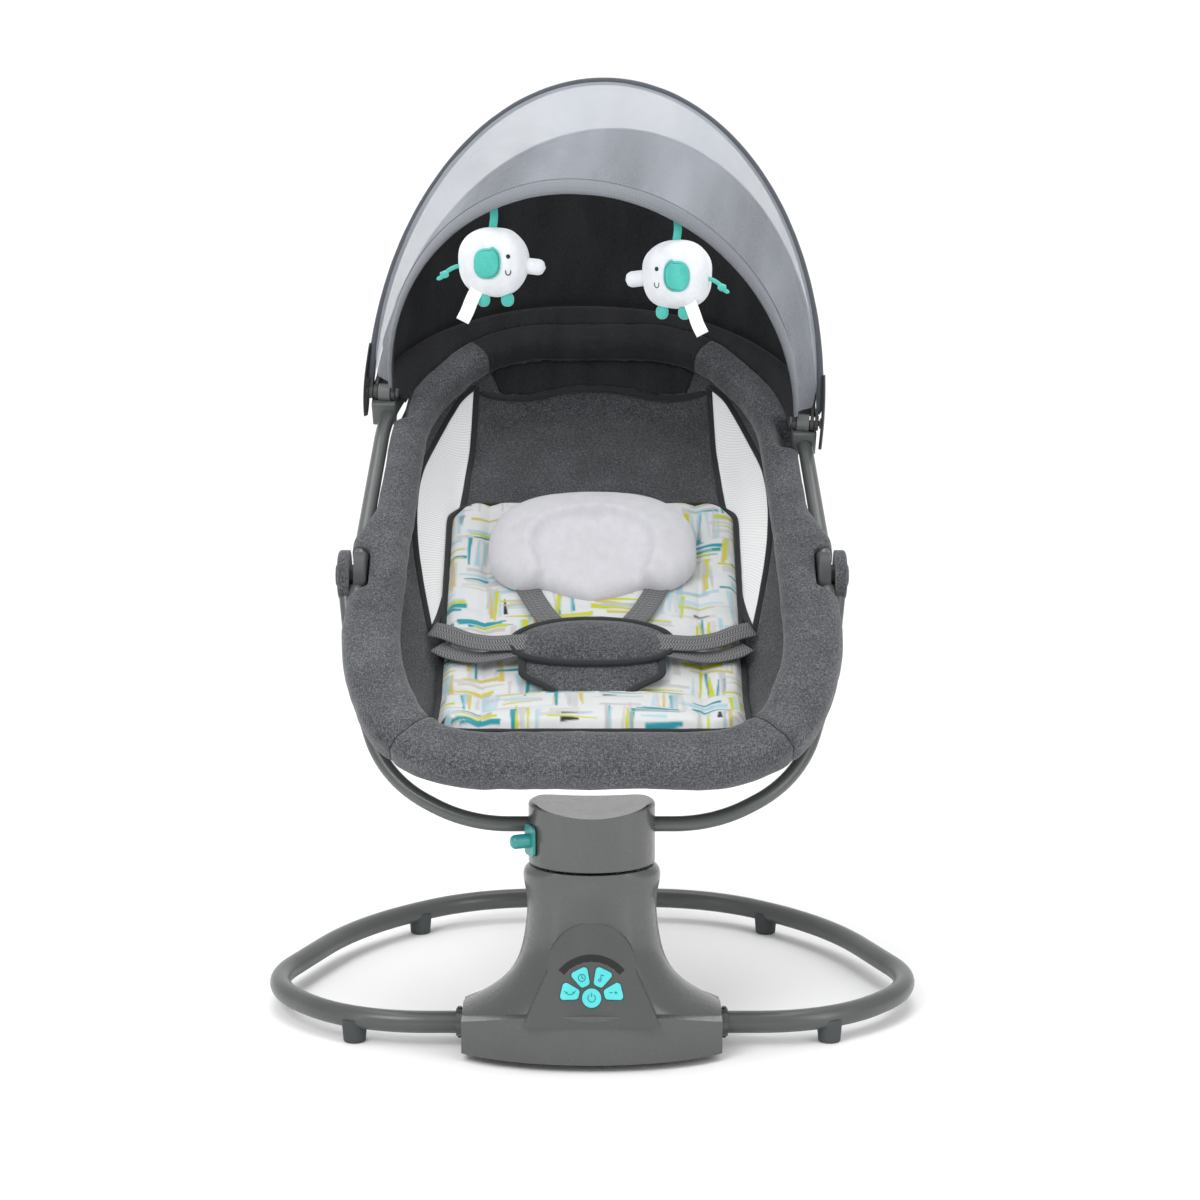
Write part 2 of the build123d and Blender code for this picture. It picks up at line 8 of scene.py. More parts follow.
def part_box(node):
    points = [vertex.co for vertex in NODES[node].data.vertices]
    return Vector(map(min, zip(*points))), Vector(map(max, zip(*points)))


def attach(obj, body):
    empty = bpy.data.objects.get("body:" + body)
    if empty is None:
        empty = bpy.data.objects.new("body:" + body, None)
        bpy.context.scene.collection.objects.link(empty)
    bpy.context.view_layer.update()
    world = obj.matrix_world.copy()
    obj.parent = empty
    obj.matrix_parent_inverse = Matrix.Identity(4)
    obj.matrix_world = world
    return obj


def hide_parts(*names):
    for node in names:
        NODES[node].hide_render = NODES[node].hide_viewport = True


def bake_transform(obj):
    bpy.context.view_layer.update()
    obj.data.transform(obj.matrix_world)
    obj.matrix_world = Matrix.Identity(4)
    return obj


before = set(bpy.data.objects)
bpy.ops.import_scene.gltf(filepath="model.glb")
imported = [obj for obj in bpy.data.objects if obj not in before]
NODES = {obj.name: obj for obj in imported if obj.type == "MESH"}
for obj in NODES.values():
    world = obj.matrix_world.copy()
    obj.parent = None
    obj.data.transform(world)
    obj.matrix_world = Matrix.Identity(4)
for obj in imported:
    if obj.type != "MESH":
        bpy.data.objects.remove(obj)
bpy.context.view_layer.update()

MM = 0.001

# ---- the frame's own places, in metres and degrees
TILT = math.radians(34.8)
SKEW = math.radians(6.5)
SEAT = Matrix.Translation((0, -0.062, 0.447)) @ Matrix.Rotation(TILT, 4, "X")
CANOPY = (
    SEAT
    @ Matrix.Translation((0, 0.242, 0.024))
    @ Matrix.Rotation(-SKEW, 4, "Z")
    @ Matrix.Rotation(-TILT, 4, "X")
)
PANEL = Matrix.Translation((0, -0.303, 0.073)) @ Matrix.Rotation(math.radians(72), 4, "X")
RAIL_CORNERS = [(190, -272, 120), (242, -120, 300), (238, 60, 400), (226, 280, 220), (130, 422, 150)]
FRONT_HOOP = (-46.4, 219.5, 338.0)
MIDDLE_HOOP = (0.0, 243.5, 346.0)
REAR_HOOP = (30.0, 238.5, 343.0)
FLOOR_W = -77.0
FOLD_U = -110.0
SLOPE = math.radians(27.5)
WALL_TOP = -26.3
WALL_IN = 42.0
WALL_RISE = 1.28


def seat_at(v, u, w):
    return SEAT @ (Vector((v, u, w)) * MM)


def hoop_at(hoop, phi, lift=0.0, along=0.0):
    """A point on a hoop, phi degrees from the right pivot, lift mm outwards and along mm to the back."""
    lean, a, h = hoop
    x = (a + lift) * math.cos(math.radians(phi))
    r = (h + lift) * math.sin(math.radians(phi))
    s, c = math.sin(math.radians(lean)), math.cos(math.radians(lean))
    return CANOPY @ (Vector((x, r * s + along * c, r * c - along * s)) * MM)


# ---- small mathematics
def clamp(x, low=0.0, high=1.0):
    return max(low, min(high, x))


def smooth(x, low, high):
    t = clamp((x - low) / (high - low))
    return t * t * (3 - 2 * t)


def mix(a, b, t):
    return a + (b - a) * t


def soft_max(a, b, k):
    h = clamp(0.5 + 0.5 * (a - b) / k)
    return mix(b, a, h) + k * h * (1 - h)


def power(x, p):
    return math.copysign(abs(x) ** p, x)


def ripple(x, y, z, seed=0.0):
    return noise.noise(Vector((x, y, z + seed * 17.3)))


def rounded_loop(corners, step):
    """A closed loop of straight runs with rounded corners, as points about step apart."""
    n = len(corners)
    out = []
    for i in range(n):
        p = Vector(corners[i][:2])
        before = (Vector(corners[i - 1][:2]) - p).normalized()
        after = (Vector(corners[(i + 1) % n][:2]) - p).normalized()
        half = math.acos(clamp(before.dot(after), -1, 1)) / 2
        reach = corners[i][2] / math.tan(half)
        middle = p + (before + after).normalized() * (corners[i][2] / math.sin(half))
        start, end = p + before * reach - middle, p + after * reach - middle
        a0 = math.atan2(start.y, start.x)
        turn = math.atan2(end.y, end.x) - a0
        turn = (turn + math.pi) % (2 * math.pi) - math.pi
        count = max(3, int(abs(turn) * corners[i][2] / step))
        for k in range(count + 1):
            a = a0 + turn * k / count
            out.append(middle + Vector((math.cos(a), math.sin(a))) * corners[i][2])
    return even(out, step, True)


def even(points, step, closed=False):
    """The same line with its points spread evenly."""
    pts = points + [points[0]] if closed else points
    runs = [(b - a).length for a, b in zip(pts, pts[1:])]
    total = sum(runs)
    count = max(4, round(total / step))
    out, i, done = [], 0, 0.0
    for k in range(count if closed else count + 1):
        want = total * k / count
        while i < len(runs) - 1 and done + runs[i] < want:
            done += runs[i]
            i += 1
        t = (want - done) / runs[i] if runs[i] > 1e-9 else 0
        out.append(pts[i].lerp(pts[i + 1], clamp(t)))
    return out


def curve_through(points, step):
    """A smooth open line through a few points."""
    pts = [2 * points[0] - points[1]] + points + [2 * points[-1] - points[-2]]
    out = []
    for a, b, c, d in zip(pts, pts[1:], pts[2:], pts[3:]):
        for k in range(16):
            t = k / 16
            out.append(
                0.5 * (
                    (2 * b)
                    + (c - a) * t
                    + (2 * a - 5 * b + 4 * c - d) * t**2
                    + (3 * b - a - 3 * c + d) * t**3
                )
            )
    out.append(points[-1])
    return even(out, step)


RAIL = rounded_loop(RAIL_CORNERS + [(-v, u, r) for v, u, r in reversed(RAIL_CORNERS)], 4.0)


def rail_out(i):
    """The outward direction of the rail loop at point i."""
    n = len(RAIL)
    along = (RAIL[(i + 1) % n] - RAIL[i - 1]).normalized()
    return Vector((along.y, -along.x))


RAIL_SIGN = 1.0 if rail_out(0).dot(RAIL[0] - Vector((0, 60))) > 0 else -1.0


def rail_depth(v, u):
    """How far inside the rail loop a place is."""
    p = Vector((v, u))
    return min((p - q).length for q in RAIL)


def floor_w(u):
    slope = (FOLD_U - u) * math.tan(SLOPE)
    return FLOOR_W + soft_max(slope, 0, 14)


def tub_w(v, u, depth=None):
    """The height of the seat tub's inner face."""
    if depth is None:
        depth = rail_depth(v, u)
    wall = WALL_TOP - (depth - WALL_IN) * WALL_RISE
    return soft_max(floor_w(u), wall, 9) - 1.5


# ---- mesh helpers
def mesh_piece(name, verts, faces, uvs=None, flat=False):
    me = bpy.data.meshes.new(name)
    me.from_pydata([tuple(v) for v in verts], [], faces)
    me.update()
    if uvs:
        layer = me.uv_layers.new(name="UVMap")
        for poly, corners in zip(me.polygons, uvs):
            for loop, uv in zip(poly.loop_indices, corners):
                layer.data[loop].uv = uv
    if not flat:
        me.shade_smooth()
    ob = bpy.data.objects.new(name, me)
    bpy.context.scene.collection.objects.link(ob)
    return ob


def grid(name, rows, wrap_rows=False, wrap_cols=False, size=(1.0, 1.0), caps=False):
    """A smooth surface through rows of points. size scales its UVs, in metres."""
    n, m = len(rows), len(rows[0])
    verts = [p for row in rows for p in row]
    faces, uvs = [], []
    for i in range(n if wrap_rows else n - 1):
        for j in range(m if wrap_cols else m - 1):
            k, l = (i + 1) % n, (j + 1) % m
            faces.append((i * m + j, i * m + l, k * m + l, k * m + j))
            u0, u1 = size[0] * j / m, size[0] * (j + 1) / m
            v0, v1 = size[1] * i / n, size[1] * (i + 1) / n
            uvs.append(((u0, v0), (u1, v0), (u1, v1), (u0, v1)))
    if caps:
        faces.append(tuple(reversed(range(m))))
        faces.append(tuple((n - 1) * m + j for j in range(m)))
        uvs += [tuple((0, 0) for _ in range(m))] * 2
    return mesh_piece(name, verts, faces, uvs)


def frames_along(points, up, closed=False):
    """The direction, side and up at each point of a line, with up as near to the given one as it goes."""
    n, out = len(points), []
    for i, p in enumerate(points):
        a = points[i - 1] if closed or i > 0 else p
        b = points[(i + 1) % n] if closed or i < n - 1 else p
        along = (b - a).normalized()
        want = up(i) if callable(up) else Vector(up)
        side = along.cross(want).normalized()
        out.append((along, side, side.cross(along).normalized()))
    return out


def sweep(name, points, up, wide, high, closed=False, square=1.0, segments=14, taper=0.0, jitter=0.0, seed=0):
    """A closed section, wide by high, carried along a line. The ends are rounded over."""
    rows, total = [], len(points)
    for i, (p, (along, side, top)) in enumerate(zip(points, frames_along(points, up, closed))):
        fade = 1.0
        if taper and not closed:
            fade = math.sqrt(clamp(1 - (1 - clamp(min(i, total - 1 - i) / taper)) ** 2)) * 0.97 + 0.03
        row = []
        for k in range(segments):
            a = 2 * math.pi * k / segments
            swell = 1 + jitter * ripple(i * 0.31, math.cos(a) * 0.9, math.sin(a) * 0.9, seed)
            row.append(
                p
                + side * (wide / 2 * MM * fade * swell * power(math.cos(a), square))
                + top * (high / 2 * MM * fade * swell * power(math.sin(a), square))
            )
        rows.append(row)
    length = sum((b - a).length for a, b in zip(points, points[1:]))
    return grid(
        name, rows, wrap_rows=closed, wrap_cols=True, size=(2 * (wide + high) * MM, length), caps=not closed
    )


def ribbon(name, points, up, wide, thick):
    """A flat strap along a line, up being its face's direction."""
    rows = []
    for p, (along, side, top) in zip(points, frames_along(points, up)):
        half, t = wide / 2 * MM, thick / 2 * MM
        row = []
        for x, z in ((-1, -0.6), (-0.97, -1), (-0.5, -1), (0, -1), (0.5, -1), (0.97, -1), (1, -0.6),
                     (1, 0.6), (0.97, 1), (0.5, 1), (0, 1), (-0.5, 1), (-0.97, 1), (-1, 0.6)):
            row.append(p + side * x * half + top * z * t)
        rows.append(row)
    length = sum((b - a).length for a, b in zip(points, points[1:]))
    return grid(name, rows, wrap_cols=True, size=(2 * wide * MM, length), caps=True)


def thicken(ob, mm, offset=0.0, second=None):
    mod = ob.modifiers.new("thickness", "SOLIDIFY")
    mod.thickness = mm * MM
    mod.offset = offset
    mod.use_even_offset = False
    if second is not None:
        ob.data.materials.append(second)
        mod.material_offset = 1
        mod.material_offset_rim = 0
    return ob


def subdivide(ob, levels=1):
    mod = ob.modifiers.new("subdivision", "SUBSURF")
    mod.levels = mod.render_levels = levels
    return ob


def inflate(ob, pressure=4.0, frames=18, cap=12.0, pins=None, bend=0.6, tension=14.0, mass=0.12):
    """Swells a closed mesh as filled cloth and keeps the result, with no point moving more than cap mm."""
    scene = bpy.context.scene
    rest = [v.co.copy() for v in ob.data.vertices]
    mod = ob.modifiers.new("Cloth", "CLOTH")
    s = mod.settings
    s.quality = 6
    s.mass = mass
    s.tension_stiffness = s.compression_stiffness = tension
    s.bending_stiffness = bend
    s.use_pressure = True
    s.uniform_pressure_force = pressure
    s.effector_weights.gravity = 0.0
    mod.collision_settings.use_collision = False
    if pins:
        group = ob.vertex_groups.new(name="pins")
        group.add(pins, 1.0, "REPLACE")
        s.vertex_group_mass = "pins"
    mod.point_cache.frame_start, mod.point_cache.frame_end = 1, frames
    for f in range(1, frames + 1):
        scene.frame_set(f)
    bpy.context.view_layer.update()
    made = ob.evaluated_get(bpy.context.evaluated_depsgraph_get()).to_mesh()
    moved = [v.co.copy() for v in made.vertices]
    ob.modifiers.remove(mod)
    for v, a, b in zip(ob.data.vertices, rest, moved):
        step = b - a
        if step.length > cap * MM:
            step = step.normalized() * cap * MM
        v.co = a + step
    scene.frame_set(1)
    return ob


# ---- materials
def tone(r, g, b):
    return tuple(
        ((c / 255 + 0.055) / 1.055) ** 2.4 if c > 10 else c / 255 / 12.92 for c in (r, g, b)
    ) + (1.0,)


class Shade:
    """A material's node tree, with short ways to add to it."""

    def __init__(self, name, rough=0.6, sheen=0.0, coat=0.0, spec=0.5, metal=0.0):
        self.material = bpy.data.materials.new(name)
        self.material.use_nodes = True
        self.tree = self.material.node_tree
        self.shader = self.tree.nodes["Principled BSDF"]
        self.set(self.shader, "Roughness", rough)
        self.set(self.shader, "Sheen Weight", sheen)
        self.set(self.shader, "Sheen Roughness", 0.5)
        self.set(self.shader, "Coat Weight", coat)
        self.set(self.shader, "Coat Roughness", 0.12)
        self.set(self.shader, "Specular IOR Level", spec)
        self.set(self.shader, "Metallic", metal)
        self.height = None

    def set(self, node, socket, value):
        node.inputs[socket].default_value = value

    def put(self, socket, value, target):
        if hasattr(value, "is_output"):
            self.tree.links.new(value, target)
        else:
            target.default_value = value

    def node(self, kind, **inputs):
        n = self.tree.nodes.new(kind)
        for k, v in inputs.items():
            if k.startswith("_"):
                setattr(n, k[1:], v)
            else:
                self.put(k, v, n.inputs[k.replace("__", " ")])
        return n

    def place(self, scale=(1, 1, 1), turn=(0, 0, 0), source="Object"):
        c = self.node("ShaderNodeTexCoord")
        m = self.node("ShaderNodeMapping")
        self.put("", c.outputs[source], m.inputs["Vector"])
        m.inputs["Scale"].default_value = scale
        m.inputs["Rotation"].default_value = turn
        return m.outputs[0]

    def noise(self, scale, detail=2.0, where=None, rough=0.5, distort=0.0):
        n = self.node("ShaderNodeTexNoise", Scale=scale, Detail=detail, Roughness=rough, Distortion=distort)
        self.put("", where or self.place(), n.inputs["Vector"])
        return n.outputs["Fac"]

    def bands(self, scale, where, axis="X", shape="SIN", distort=0.0):
        n = self.node("ShaderNodeTexWave", Scale=scale, Distortion=distort)
        n.bands_direction = axis
        n.wave_profile = shape
        self.put("", where, n.inputs["Vector"])
        return n.outputs["Fac"]

    def cells(self, scale, where=None, feature="F1"):
        n = self.node("ShaderNodeTexVoronoi", Scale=scale)
        n.feature = feature
        self.put("", where or self.place(), n.inputs["Vector"])
        return n.outputs["Distance"]

    def math(self, how, a, b=0.0, c=0.0, clip=False):
        n = self.node("ShaderNodeMath", _operation=how, _use_clamp=clip)
        for i, v in enumerate((a, b, c)):
            self.put("", v, n.inputs[i])
        return n.outputs[0]

    def ramp(self, fac, stops):
        n = self.node("ShaderNodeValToRGB")
        self.put("", fac, n.inputs["Fac"])
        e = n.color_ramp.elements
        while len(e) < len(stops):
            e.new(0.5)
        for x, (at, colour) in zip(e, stops):
            x.position = at
            x.color = colour
        return n.outputs["Color"]

    def blend(self, fac, a, b, how="MIX"):
        n = self.node("ShaderNodeMix", _data_type="RGBA", _blend_type=how)
        self.put("", fac, n.inputs["Factor"])
        self.put("", a, n.inputs["A"] if not hasattr(n.inputs, "keys") else n.inputs[6])
        self.put("", b, n.inputs[7])
        return n.outputs[2]

    def colour(self, value):
        self.put("", value, self.shader.inputs["Base Color"])
        return self

    def rough(self, value):
        self.put("", value, self.shader.inputs["Roughness"])
        return self

    def alpha(self, value):
        self.put("", value, self.shader.inputs["Alpha"])
        return self

    def bump(self, height, distance, strength=1.0):
        n = self.node("ShaderNodeBump", Strength=strength, Distance=distance)
        self.put("", height, n.inputs["Height"])
        if self.height is not None:
            self.tree.links.new(self.height, n.inputs["Normal"])
        self.height = n.outputs["Normal"]
        self.tree.links.new(self.height, self.shader.inputs["Normal"])
        return self


def moulded(name, low, high, rough, coat=0.0, grain=0.00003, spec=0.5, wear=0.03):
    s = Shade(name, rough=rough, coat=coat, spec=spec)
    cloud = s.noise(14, 3)
    s.colour(s.ramp(cloud, [(0.3, low), (0.7, high)]))
    s.rough(s.math("ADD", rough - wear, s.math("MULTIPLY", s.noise(60, 4), wear * 2)))
    s.bump(s.noise(900, 2), grain)
    return s.material


def heather(name, dark, mid, light, seed=0.0, quilt=0.0004, sheen=0.25):
    """Melange cloth: two colours of yarn spun together, in a plain weave."""
    s = Shade(name, rough=0.88, sheen=sheen, spec=0.25)
    warp = s.noise(980, 2.5, s.place((1, 0.36, 0.36), (0.2 + seed, 0.1, 0)))
    weft = s.noise(980, 2.5, s.place((0.36, 1, 1), (0, 0.3 + seed, 0)))
    fleck = s.math("MULTIPLY", s.math("ADD", warp, weft), 0.5)
    cloud = s.math("MULTIPLY", s.noise(22, 3), 0.16)
    both = s.math("ADD", fleck, s.math("SUBTRACT", cloud, 0.08))
    s.colour(s.ramp(both, [(0.36, dark), (0.5, mid), (0.66, light)]))
    s.bump(s.noise(150, 3), quilt * 0.5, 0.5)
    s.bump(fleck, 0.0006, 0.7)
    return s.material


def lining(name, dark, light):
    """Plain near-black lining cloth."""
    s = Shade(name, rough=0.8, sheen=0.12, spec=0.2)
    fleck = s.noise(520, 3)
    cloud = s.noise(35, 3, s.place((1, 0.3, 0.3)))
    s.colour(
        s.ramp(
            s.math("MULTIPLY_ADD", cloud, 0.5, s.math("MULTIPLY", fleck, 0.5)),
            [(0.35, dark), (0.65, light)],
        )
    )
    s.bump(s.noise(60, 3, s.place((1, 0.25, 0.25))), 0.0016, 0.6)
    s.bump(fleck, 0.0004, 0.6)
    return s.material


def net(name, thread, alpha_low, alpha_high, pitch, angle, cloudy=0.16):
    """Open net cloth: threads that cross, with daylight between them."""
    s = Shade(name, rough=0.7, sheen=0.2, spec=0.2)
    a = s.bands(pitch, s.place((1, 1, 1), (0, 0, angle), "UV"), "X")
    b = s.bands(pitch, s.place((1, 1, 1), (0, 0, angle), "UV"), "Y")
    weave = s.math("MAXIMUM", a, b)
    cloud = s.noise(7, 4, s.place((1, 0.22, 1), (0, 0, 0.55), "UV"))
    s.colour(s.ramp(cloud, [(0.3, thread), (0.75, tuple(min(1, c * 1.12) for c in thread[:3]) + (1.0,))]))
    open_part = s.math("MULTIPLY_ADD", weave, alpha_high - alpha_low, alpha_low)
    s.alpha(s.math("MULTIPLY_ADD", cloud, cloudy, s.math("SUBTRACT", open_part, cloudy / 2), clip=True))
    s.bump(weave, 0.0003, 0.5)
    return s.material


def webbing_cloth(name, dark, light):
    """Narrow webbing with a herringbone twill."""
    s = Shade(name, rough=0.72, sheen=0.15, spec=0.3)
    one = s.bands(150, s.place((1, 1, 1), (0, 0, 0.75), "UV"), "X")
    two = s.bands(150, s.place((1, 1, 1), (0, 0, -0.75), "UV"), "X")
    rib = s.bands(60, s.place((1, 1, 1), (0, 0, 0), "UV"), "X", "TRI")
    twill = s.math(
        "MAXIMUM", s.math("MULTIPLY", one, rib), s.math("MULTIPLY", two, s.math("SUBTRACT", 1.0, rib))
    )
    fleck = s.math("MULTIPLY_ADD", s.noise(900, 2), 0.4, s.math("MULTIPLY", twill, 0.8))
    s.colour(s.ramp(fleck, [(0.2, dark), (0.75, light)]))
    s.bump(twill, 0.0005, 0.8)
    return s.material


def ribbed_tape(name, dark, light):
    """Folded grosgrain binding."""
    s = Shade(name, rough=0.75, sheen=0.15, spec=0.25)
    rib = s.bands(230, s.place((1, 1, 1), (0, 0, 0.5), "UV"), "Y")
    fleck = s.math("MULTIPLY_ADD", s.noise(800, 2), 0.5, s.math("MULTIPLY", rib, 0.5))
    s.colour(s.ramp(fleck, [(0.3, dark), (0.7, light)]))
    s.bump(rib, 0.0004, 0.7)
    return s.material


def plush(name, low, high, pile=0.0012):
    s = Shade(name, rough=0.95, sheen=0.5, spec=0.15)
    tuft = s.noise(700, 3, distort=0.4)
    nap = s.noise(90, 3, s.place((1, 1, 0.5)))
    s.colour(
        s.ramp(s.math("MULTIPLY_ADD", nap, 0.6, s.math("MULTIPLY", tuft, 0.4)), [(0.3, low), (0.7, high)])
    )
    s.bump(nap, pile, 0.5)
    s.bump(tuft, pile * 0.6, 0.8)
    return s.material


def painted_cloth(name):
    """The pad's printed cotton: its brush strokes are painted on the mesh."""
    s = Shade(name, rough=0.85, sheen=0.2, spec=0.2)
    paint = s.node("ShaderNodeVertexColor")
    paint.layer_name = "print"
    weave = s.noise(900, 2)
    s.colour(
        s.blend(
            0.12,
            paint.outputs["Color"],
            s.ramp(weave, [(0.3, tone(200, 200, 198)), (0.7, tone(255, 255, 255))]),
            "MULTIPLY",
        )
    )
    s.bump(s.noise(120, 3), 0.0007, 0.5)
    s.bump(weave, 0.0003, 0.6)
    return s.material


def solder_board(name):
    s = Shade(name, rough=0.45, spec=0.5)
    lines = s.bands(80, s.place(), "X", "TRI", 3.0)
    s.colour(s.ramp(lines, [(0.45, tone(18, 78, 46)), (0.9, tone(60, 130, 80))]))
    return s.material


MAT = {
    "housing": moulded(
        "housing_gloss", tone(70, 72, 71), tone(76, 78, 77), 0.27, coat=0.35, grain=0.00002, spec=0.55
    ),
    "tube": moulded("tube_paint", tone(70, 73, 72), tone(77, 80, 79), 0.34, coat=0.15, grain=0.00005),
    "arm": moulded("arm_paint", tone(74, 78, 77), tone(81, 85, 84), 0.36, coat=0.25, grain=0.00005),
    "dark": moulded("dark_plastic", tone(52, 54, 55), tone(60, 62, 63), 0.5, grain=0.00008),
    "clip": moulded("clip_plastic", tone(86, 91, 90), tone(96, 101, 100), 0.45, grain=0.00006),
    "rubber": moulded("foot_rubber", tone(66, 70, 70), tone(78, 82, 82), 0.75, grain=0.0001, spec=0.3),
    "screw": moulded("screw_black", tone(30, 30, 31), tone(48, 48, 50), 0.4, grain=0.00004),
    "display": moulded("display_black", tone(10, 11, 13), tone(15, 16, 19), 0.12, coat=0.6, grain=0.000005),
    "steel": moulded("plain_steel", tone(150, 150, 152), tone(176, 176, 178), 0.35, grain=0.00003, spec=0.8),
    "nylon": moulded("gearbox_nylon", tone(188, 186, 178), tone(205, 203, 196), 0.55),
    "teal": moulded("button_teal", tone(78, 200, 202), tone(92, 212, 212), 0.42, coat=0.15, grain=0.00004),
    "teal_deep": moulded(
        "lever_teal", tone(40, 134, 132), tone(52, 148, 144), 0.38, coat=0.15, grain=0.00004
    ),
    "icon": moulded("icon_mark", tone(20, 110, 112), tone(28, 122, 124), 0.6),
    "led": moulded("display_mark", tone(90, 96, 98), tone(112, 118, 120), 0.5),
    "heather": heather("heather_cloth", tone(40, 42, 45), tone(69, 71, 75), tone(108, 110, 114)),
    "heather_dark": heather("heather_panel", tone(38, 40, 42), tone(62, 64, 67), tone(94, 96, 99), seed=0.6),
    "lining": lining("lining_black", tone(23, 24, 26), tone(40, 41, 43)),
    "lining_grey": lining("lining_grey", tone(46, 48, 51), tone(66, 68, 72)),
    "binding": ribbed_tape("binding_black", tone(26, 28, 30), tone(46, 48, 51)),
    "hoop_tape": ribbed_tape("binding_grey", tone(52, 56, 62), tone(98, 102, 110)),
    "net": net("canopy_net", tone(166, 171, 180), 0.26, 0.62, 210, 0.4, cloudy=0.5),
    "net_hem": net("canopy_net_hem", tone(132, 136, 143), 0.45, 0.85, 160, 0.9),
    "window": net("window_net", tone(226, 227, 228), 0.55, 0.95, 120, 0.7),
    "print": painted_cloth("pad_print"),
    "plush": plush("white_plush", tone(188, 188, 193), tone(200, 200, 205)),
    "toy": plush("toy_plush", tone(200, 204, 210), tone(220, 223, 227), 0.0008),
    "toy_teal": plush("toy_teal", tone(58, 160, 150), tone(84, 186, 174), 0.0006),
    "toy_dark": plush("toy_thread", tone(22, 26, 30), tone(34, 38, 42), 0.0002),
    "stitch_teal": plush("stitch_teal", tone(24, 112, 108), tone(34, 128, 122), 0.0003),
    "label": lining("white_label", tone(232, 230, 230), tone(246, 245, 245)),
    "webbing": webbing_cloth("grey_webbing", tone(38, 39, 40), tone(124, 125, 127)),
    "board": solder_board("circuit_board"),
}


def paint(ob, key):
    ob.data.materials.clear()
    ob.data.materials.append(MAT[key])
    return ob


def finish_piece(ob, body, key, slot, *stands_for):
    paint(ob, key)
    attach(ob, body)
    if stands_for:
        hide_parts(*stands_for)
    return ob


# ---- CAD nodes that stay, with their own finish
STAYING = {
    "heather": ["hub_cover_left", "hub_cover_right", "recline_button_left", "recline_button_right"],
    "housing": ["base_housing_front", "base_housing_rear", "head_housing_front", "head_housing_rear"],
    "tube": ["base_ring"],
    "arm": ["arm_tube", "seat_frame_foot", "seat_frame_head"],
    "dark": [
        "base_bottom_plate", "bearing_bracket", "arm_clamp", "speaker", "harness_buckle",
        "hoop_front", "hoop_middle", "hoop_rear", "seat_hub_left", "seat_hub_right"
    ],
    "clip": ["canopy_clip_left", "canopy_clip_right", "canopy_pin_left", "canopy_pin_right"],
    "rubber": ["foot_front_left", "foot_front_right", "foot_rear_left", "foot_rear_right"],
    "screw": ["collar_screws", "power_inlet"],
    "display": ["display_window"],
    "steel": ["swing_shaft", "shaft_bearings", "swing_motor"],
    "nylon": ["gearbox"],
    "board": ["control_board"],
    "teal": ["button_power", "button_swing", "button_timer", "button_music", "button_volume"],
    "teal_deep": ["lock_lever"],
}
for key, names in STAYING.items():
    for name in names:
        paint(NODES[name], key)

# ---- padded rim
HUB_FACE = 228
ARM_FACE = 236.5


def rim_section(i, t):
    """A point of the rim's skin: t runs once round the section."""
    c, out = RAIL[i], rail_out(i) * RAIL_SIGN
    u, v = c.y, c.x
    bare = smooth(u, 45, 105)
    o0, o1 = -48.0, mix(11.0, -8.6, bare)
    low = mix(-26.0, -23.0, smooth(u, 60, 160))
    high = mix(13.0, 12.0, bare)
    foot = smooth(-u, 190, 262)
    high += 1.5 * foot
    o = (o0 + o1) / 2 + (o1 - o0) / 2 * power(math.cos(t), 0.72)
    w = (low + high) / 2 + (high - low) / 2 * power(math.sin(t), 0.72)
    swell = 1.1 * ripple(c.x * 0.018, c.y * 0.018, 0.0, 1) + 0.9 * ripple(c.x * 0.06, c.y * 0.06, t * 0.35, 2)
    pucker = 0.0
    for at_v, at_u, depth in ((188, -240, 2.6), (236, -52, 1.8), (214, 302, 2.0), (0, 421, 1.2)):
        near = math.exp(-(((abs(v) - at_v) ** 2 + (u - at_u) ** 2) / 3.2**2))
        wide = math.exp(-(((abs(v) - at_v) ** 2 + (u - at_u) ** 2) / 22**2))
        pucker -= depth * near
        pucker += 0.9 * wide * math.sin(t * 9 + at_u)
    o += (swell + pucker) * math.cos(t)
    w += (swell + pucker) * math.sin(t)
    p = c + out * o
    # room for the hubs, the arm and the canopy's clips
    hub = math.hypot(p.y, w)
    if abs(p.x) > HUB_FACE and hub < 33:
        p.x = math.copysign(mix(HUB_FACE, abs(p.x), smooth(hub, 29, 33)), p.x)
    if abs(p.x) > ARM_FACE and -74 < p.y < 2 and w < -3:
        p.x = math.copysign(ARM_FACE, p.x)
    clip_u = 242 - math.copysign(math.sin(SKEW) * 222.5, p.x)
    dip = (1 - smooth(abs(p.y - clip_u), 15, 27)) * smooth(abs(p.x), 196, 208)
    if w > -14:
        w = mix(w, -14.5, dip)
    return seat_at(p.x, p.y, w)


ROUND = 30
rim = grid(
    "rim_padding",
    [[rim_section(i, 2 * math.pi * k / ROUND) for k in range(ROUND)] for i in range(len(RAIL))],
    wrap_rows=True,
    wrap_cols=True,
    size=(0.2, 1.6),
)
finish_piece(rim, "seat", "heather", "heather_fabric", "rim_bolster")
# The rim's head end lies in shade, so its faces are painted with the near-black lining cloth: this is painted
# shade, not a different fabric.
rim.data.materials.append(MAT["lining"])
for poly in rim.data.polygons:
    c = RAIL[poly.index // ROUND]
    if c.y > 330 and abs(c.x) < 146:
        poly.material_index = 1
subdivide(rim)


def seam_round(name, at, body="seat"):
    """A line of seam piping over the rim where two panels meet."""
    i = min(range(len(RAIL)), key=lambda k: (RAIL[k] - Vector(at)).length)
    pts = []
    for k in range(15):
        t = math.radians(-20 + 200 * k / 14)
        pts.append(rim_section(i, t))
    middle = sum(pts, Vector()) / len(pts)
    pts = [p + (p - middle).normalized() * 0.0004 for p in pts]
    ob = sweep(name, pts, (0.2, 1, 0.3), 1.6, 1.2, segments=8, taper=2)
    return finish_piece(ob, body, "binding", "heather_fabric")


